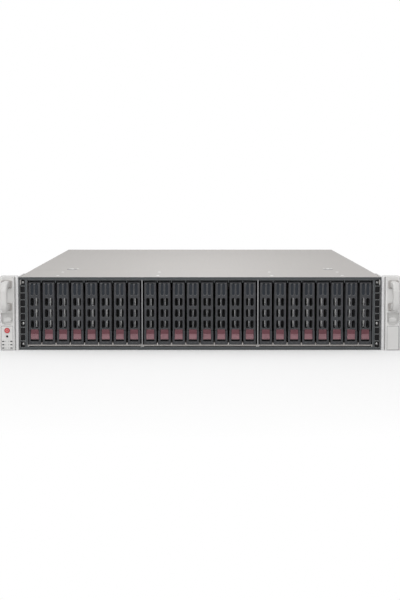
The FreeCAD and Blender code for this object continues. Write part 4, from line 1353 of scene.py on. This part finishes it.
floor_material = bpy.data.materials.new("pale_floor")
floor_material.use_nodes = True
tree = floor_material.node_tree
sheet = tree.nodes["Principled BSDF"]
plug(tree, sheet.inputs["Base Color"], floor_colour)
plug(tree, sheet.inputs["Roughness"], floor_roughness)
reach = add_node(tree, "ShaderNodeVectorMath", {0: own_place(tree)}, operation="LENGTH")["Value"]
fade = result(tree, "ShaderNodeMapRange", {"Value": reach, "From Min": glow_start, "From Max": glow_end})
glow = result(tree, "ShaderNodeEmission", {"Color": WHITE, "Strength": 1.0})
share = maths(tree, "MULTIPLY", fade, seen_rays(tree))
blend = result(tree, "ShaderNodeMixShader", {0: share, 1: sheet.outputs[0], 2: glow})
plug(tree, tree.nodes["Material Output"].inputs["Surface"], blend)
floor_corners = [(x * floor_half, y * floor_half, -floor_drop)
                 for x, y in ((-1, -1), (1, -1), (1, 1), (-1, 1))]
floor = point_object("floor", floor_corners, [], floor_material, [(0, 1, 2, 3)])

world = bpy.data.worlds.new("studio")
bpy.context.scene.world = world
world.use_nodes = True
tree = world.node_tree
tree.nodes.clear()
light = result(tree, "ShaderNodeBackground", {"Color": WHITE, "Strength": sky_strength})
white = result(tree, "ShaderNodeBackground", {"Color": WHITE, "Strength": 1.0})
both = result(tree, "ShaderNodeMixShader", {0: seen_rays(tree), 1: light, 2: white})
add_node(tree, "ShaderNodeOutputWorld", {"Surface": both})
print("floor and world ready")

# %% [markdown]
# ## Lamps
# Large soft lamps from the front, from both sides and from above give the even light of a catalogue
# picture. A long strip lamp over the cover makes its middle a little brighter than its sides. Places are
# in metres.

# %% Lamps
def aimed(name, data, place, aim):
    made = new_object(name, data)
    made.location = place
    made.rotation_euler = (Vector(aim) - Vector(place)).to_track_quat("-Z", "Y").to_euler()
    return made


def soft_lamp(name, place, aim, size, watts):
    lamp = bpy.data.lights.new(name, "AREA")
    lamp.shape = "RECTANGLE"
    lamp.size, lamp.size_y = size
    lamp.energy = watts
    aimed(name, lamp, place, aim)


soft_lamp("front_softbox", (-0.5, -2.6, 1.6), (0.0, -0.3, 0.05), (2.8, 2.8), 42.0)
soft_lamp("left_softbox", (-2.0, -1.6, 1.2), (0.0, -0.1, 0.05), (1.2, 1.2), 12.0)
soft_lamp("right_softbox", (2.0, -1.6, 1.2), (0.0, -0.1, 0.05), (1.2, 1.2), 9.0)
soft_lamp("top_softbox", (0.0, 0.3, 2.4), (0.0, 0.1, 0.05), (2.4, 2.4), 8.0)
soft_lamp("cover_strip", (0.0, 0.1, 0.55), (0.0, 0.102, 0.05), (0.2, 1.6), 2.0)

# %% [markdown]
# ## Camera
# The camera stands 1.7 m before the face plate, a hand above the cover, and looks slightly down with a
# long lens, as in the photograph.

# %% Camera
camera_distance = 1.691
camera_height = 0.208
aim_height = 0.0605
focal_length = 84.4
lens = bpy.data.cameras.new("camera")
lens.lens = focal_length
plane = front_y * MM
camera = aimed("camera", lens, (0.0, plane - camera_distance, camera_height), (0.0, plane, aim_height))
bpy.context.scene.camera = camera
bpy.context.scene.view_settings.view_transform = "Standard"
print("camera at", tuple(round(value, 3) for value in camera.location))
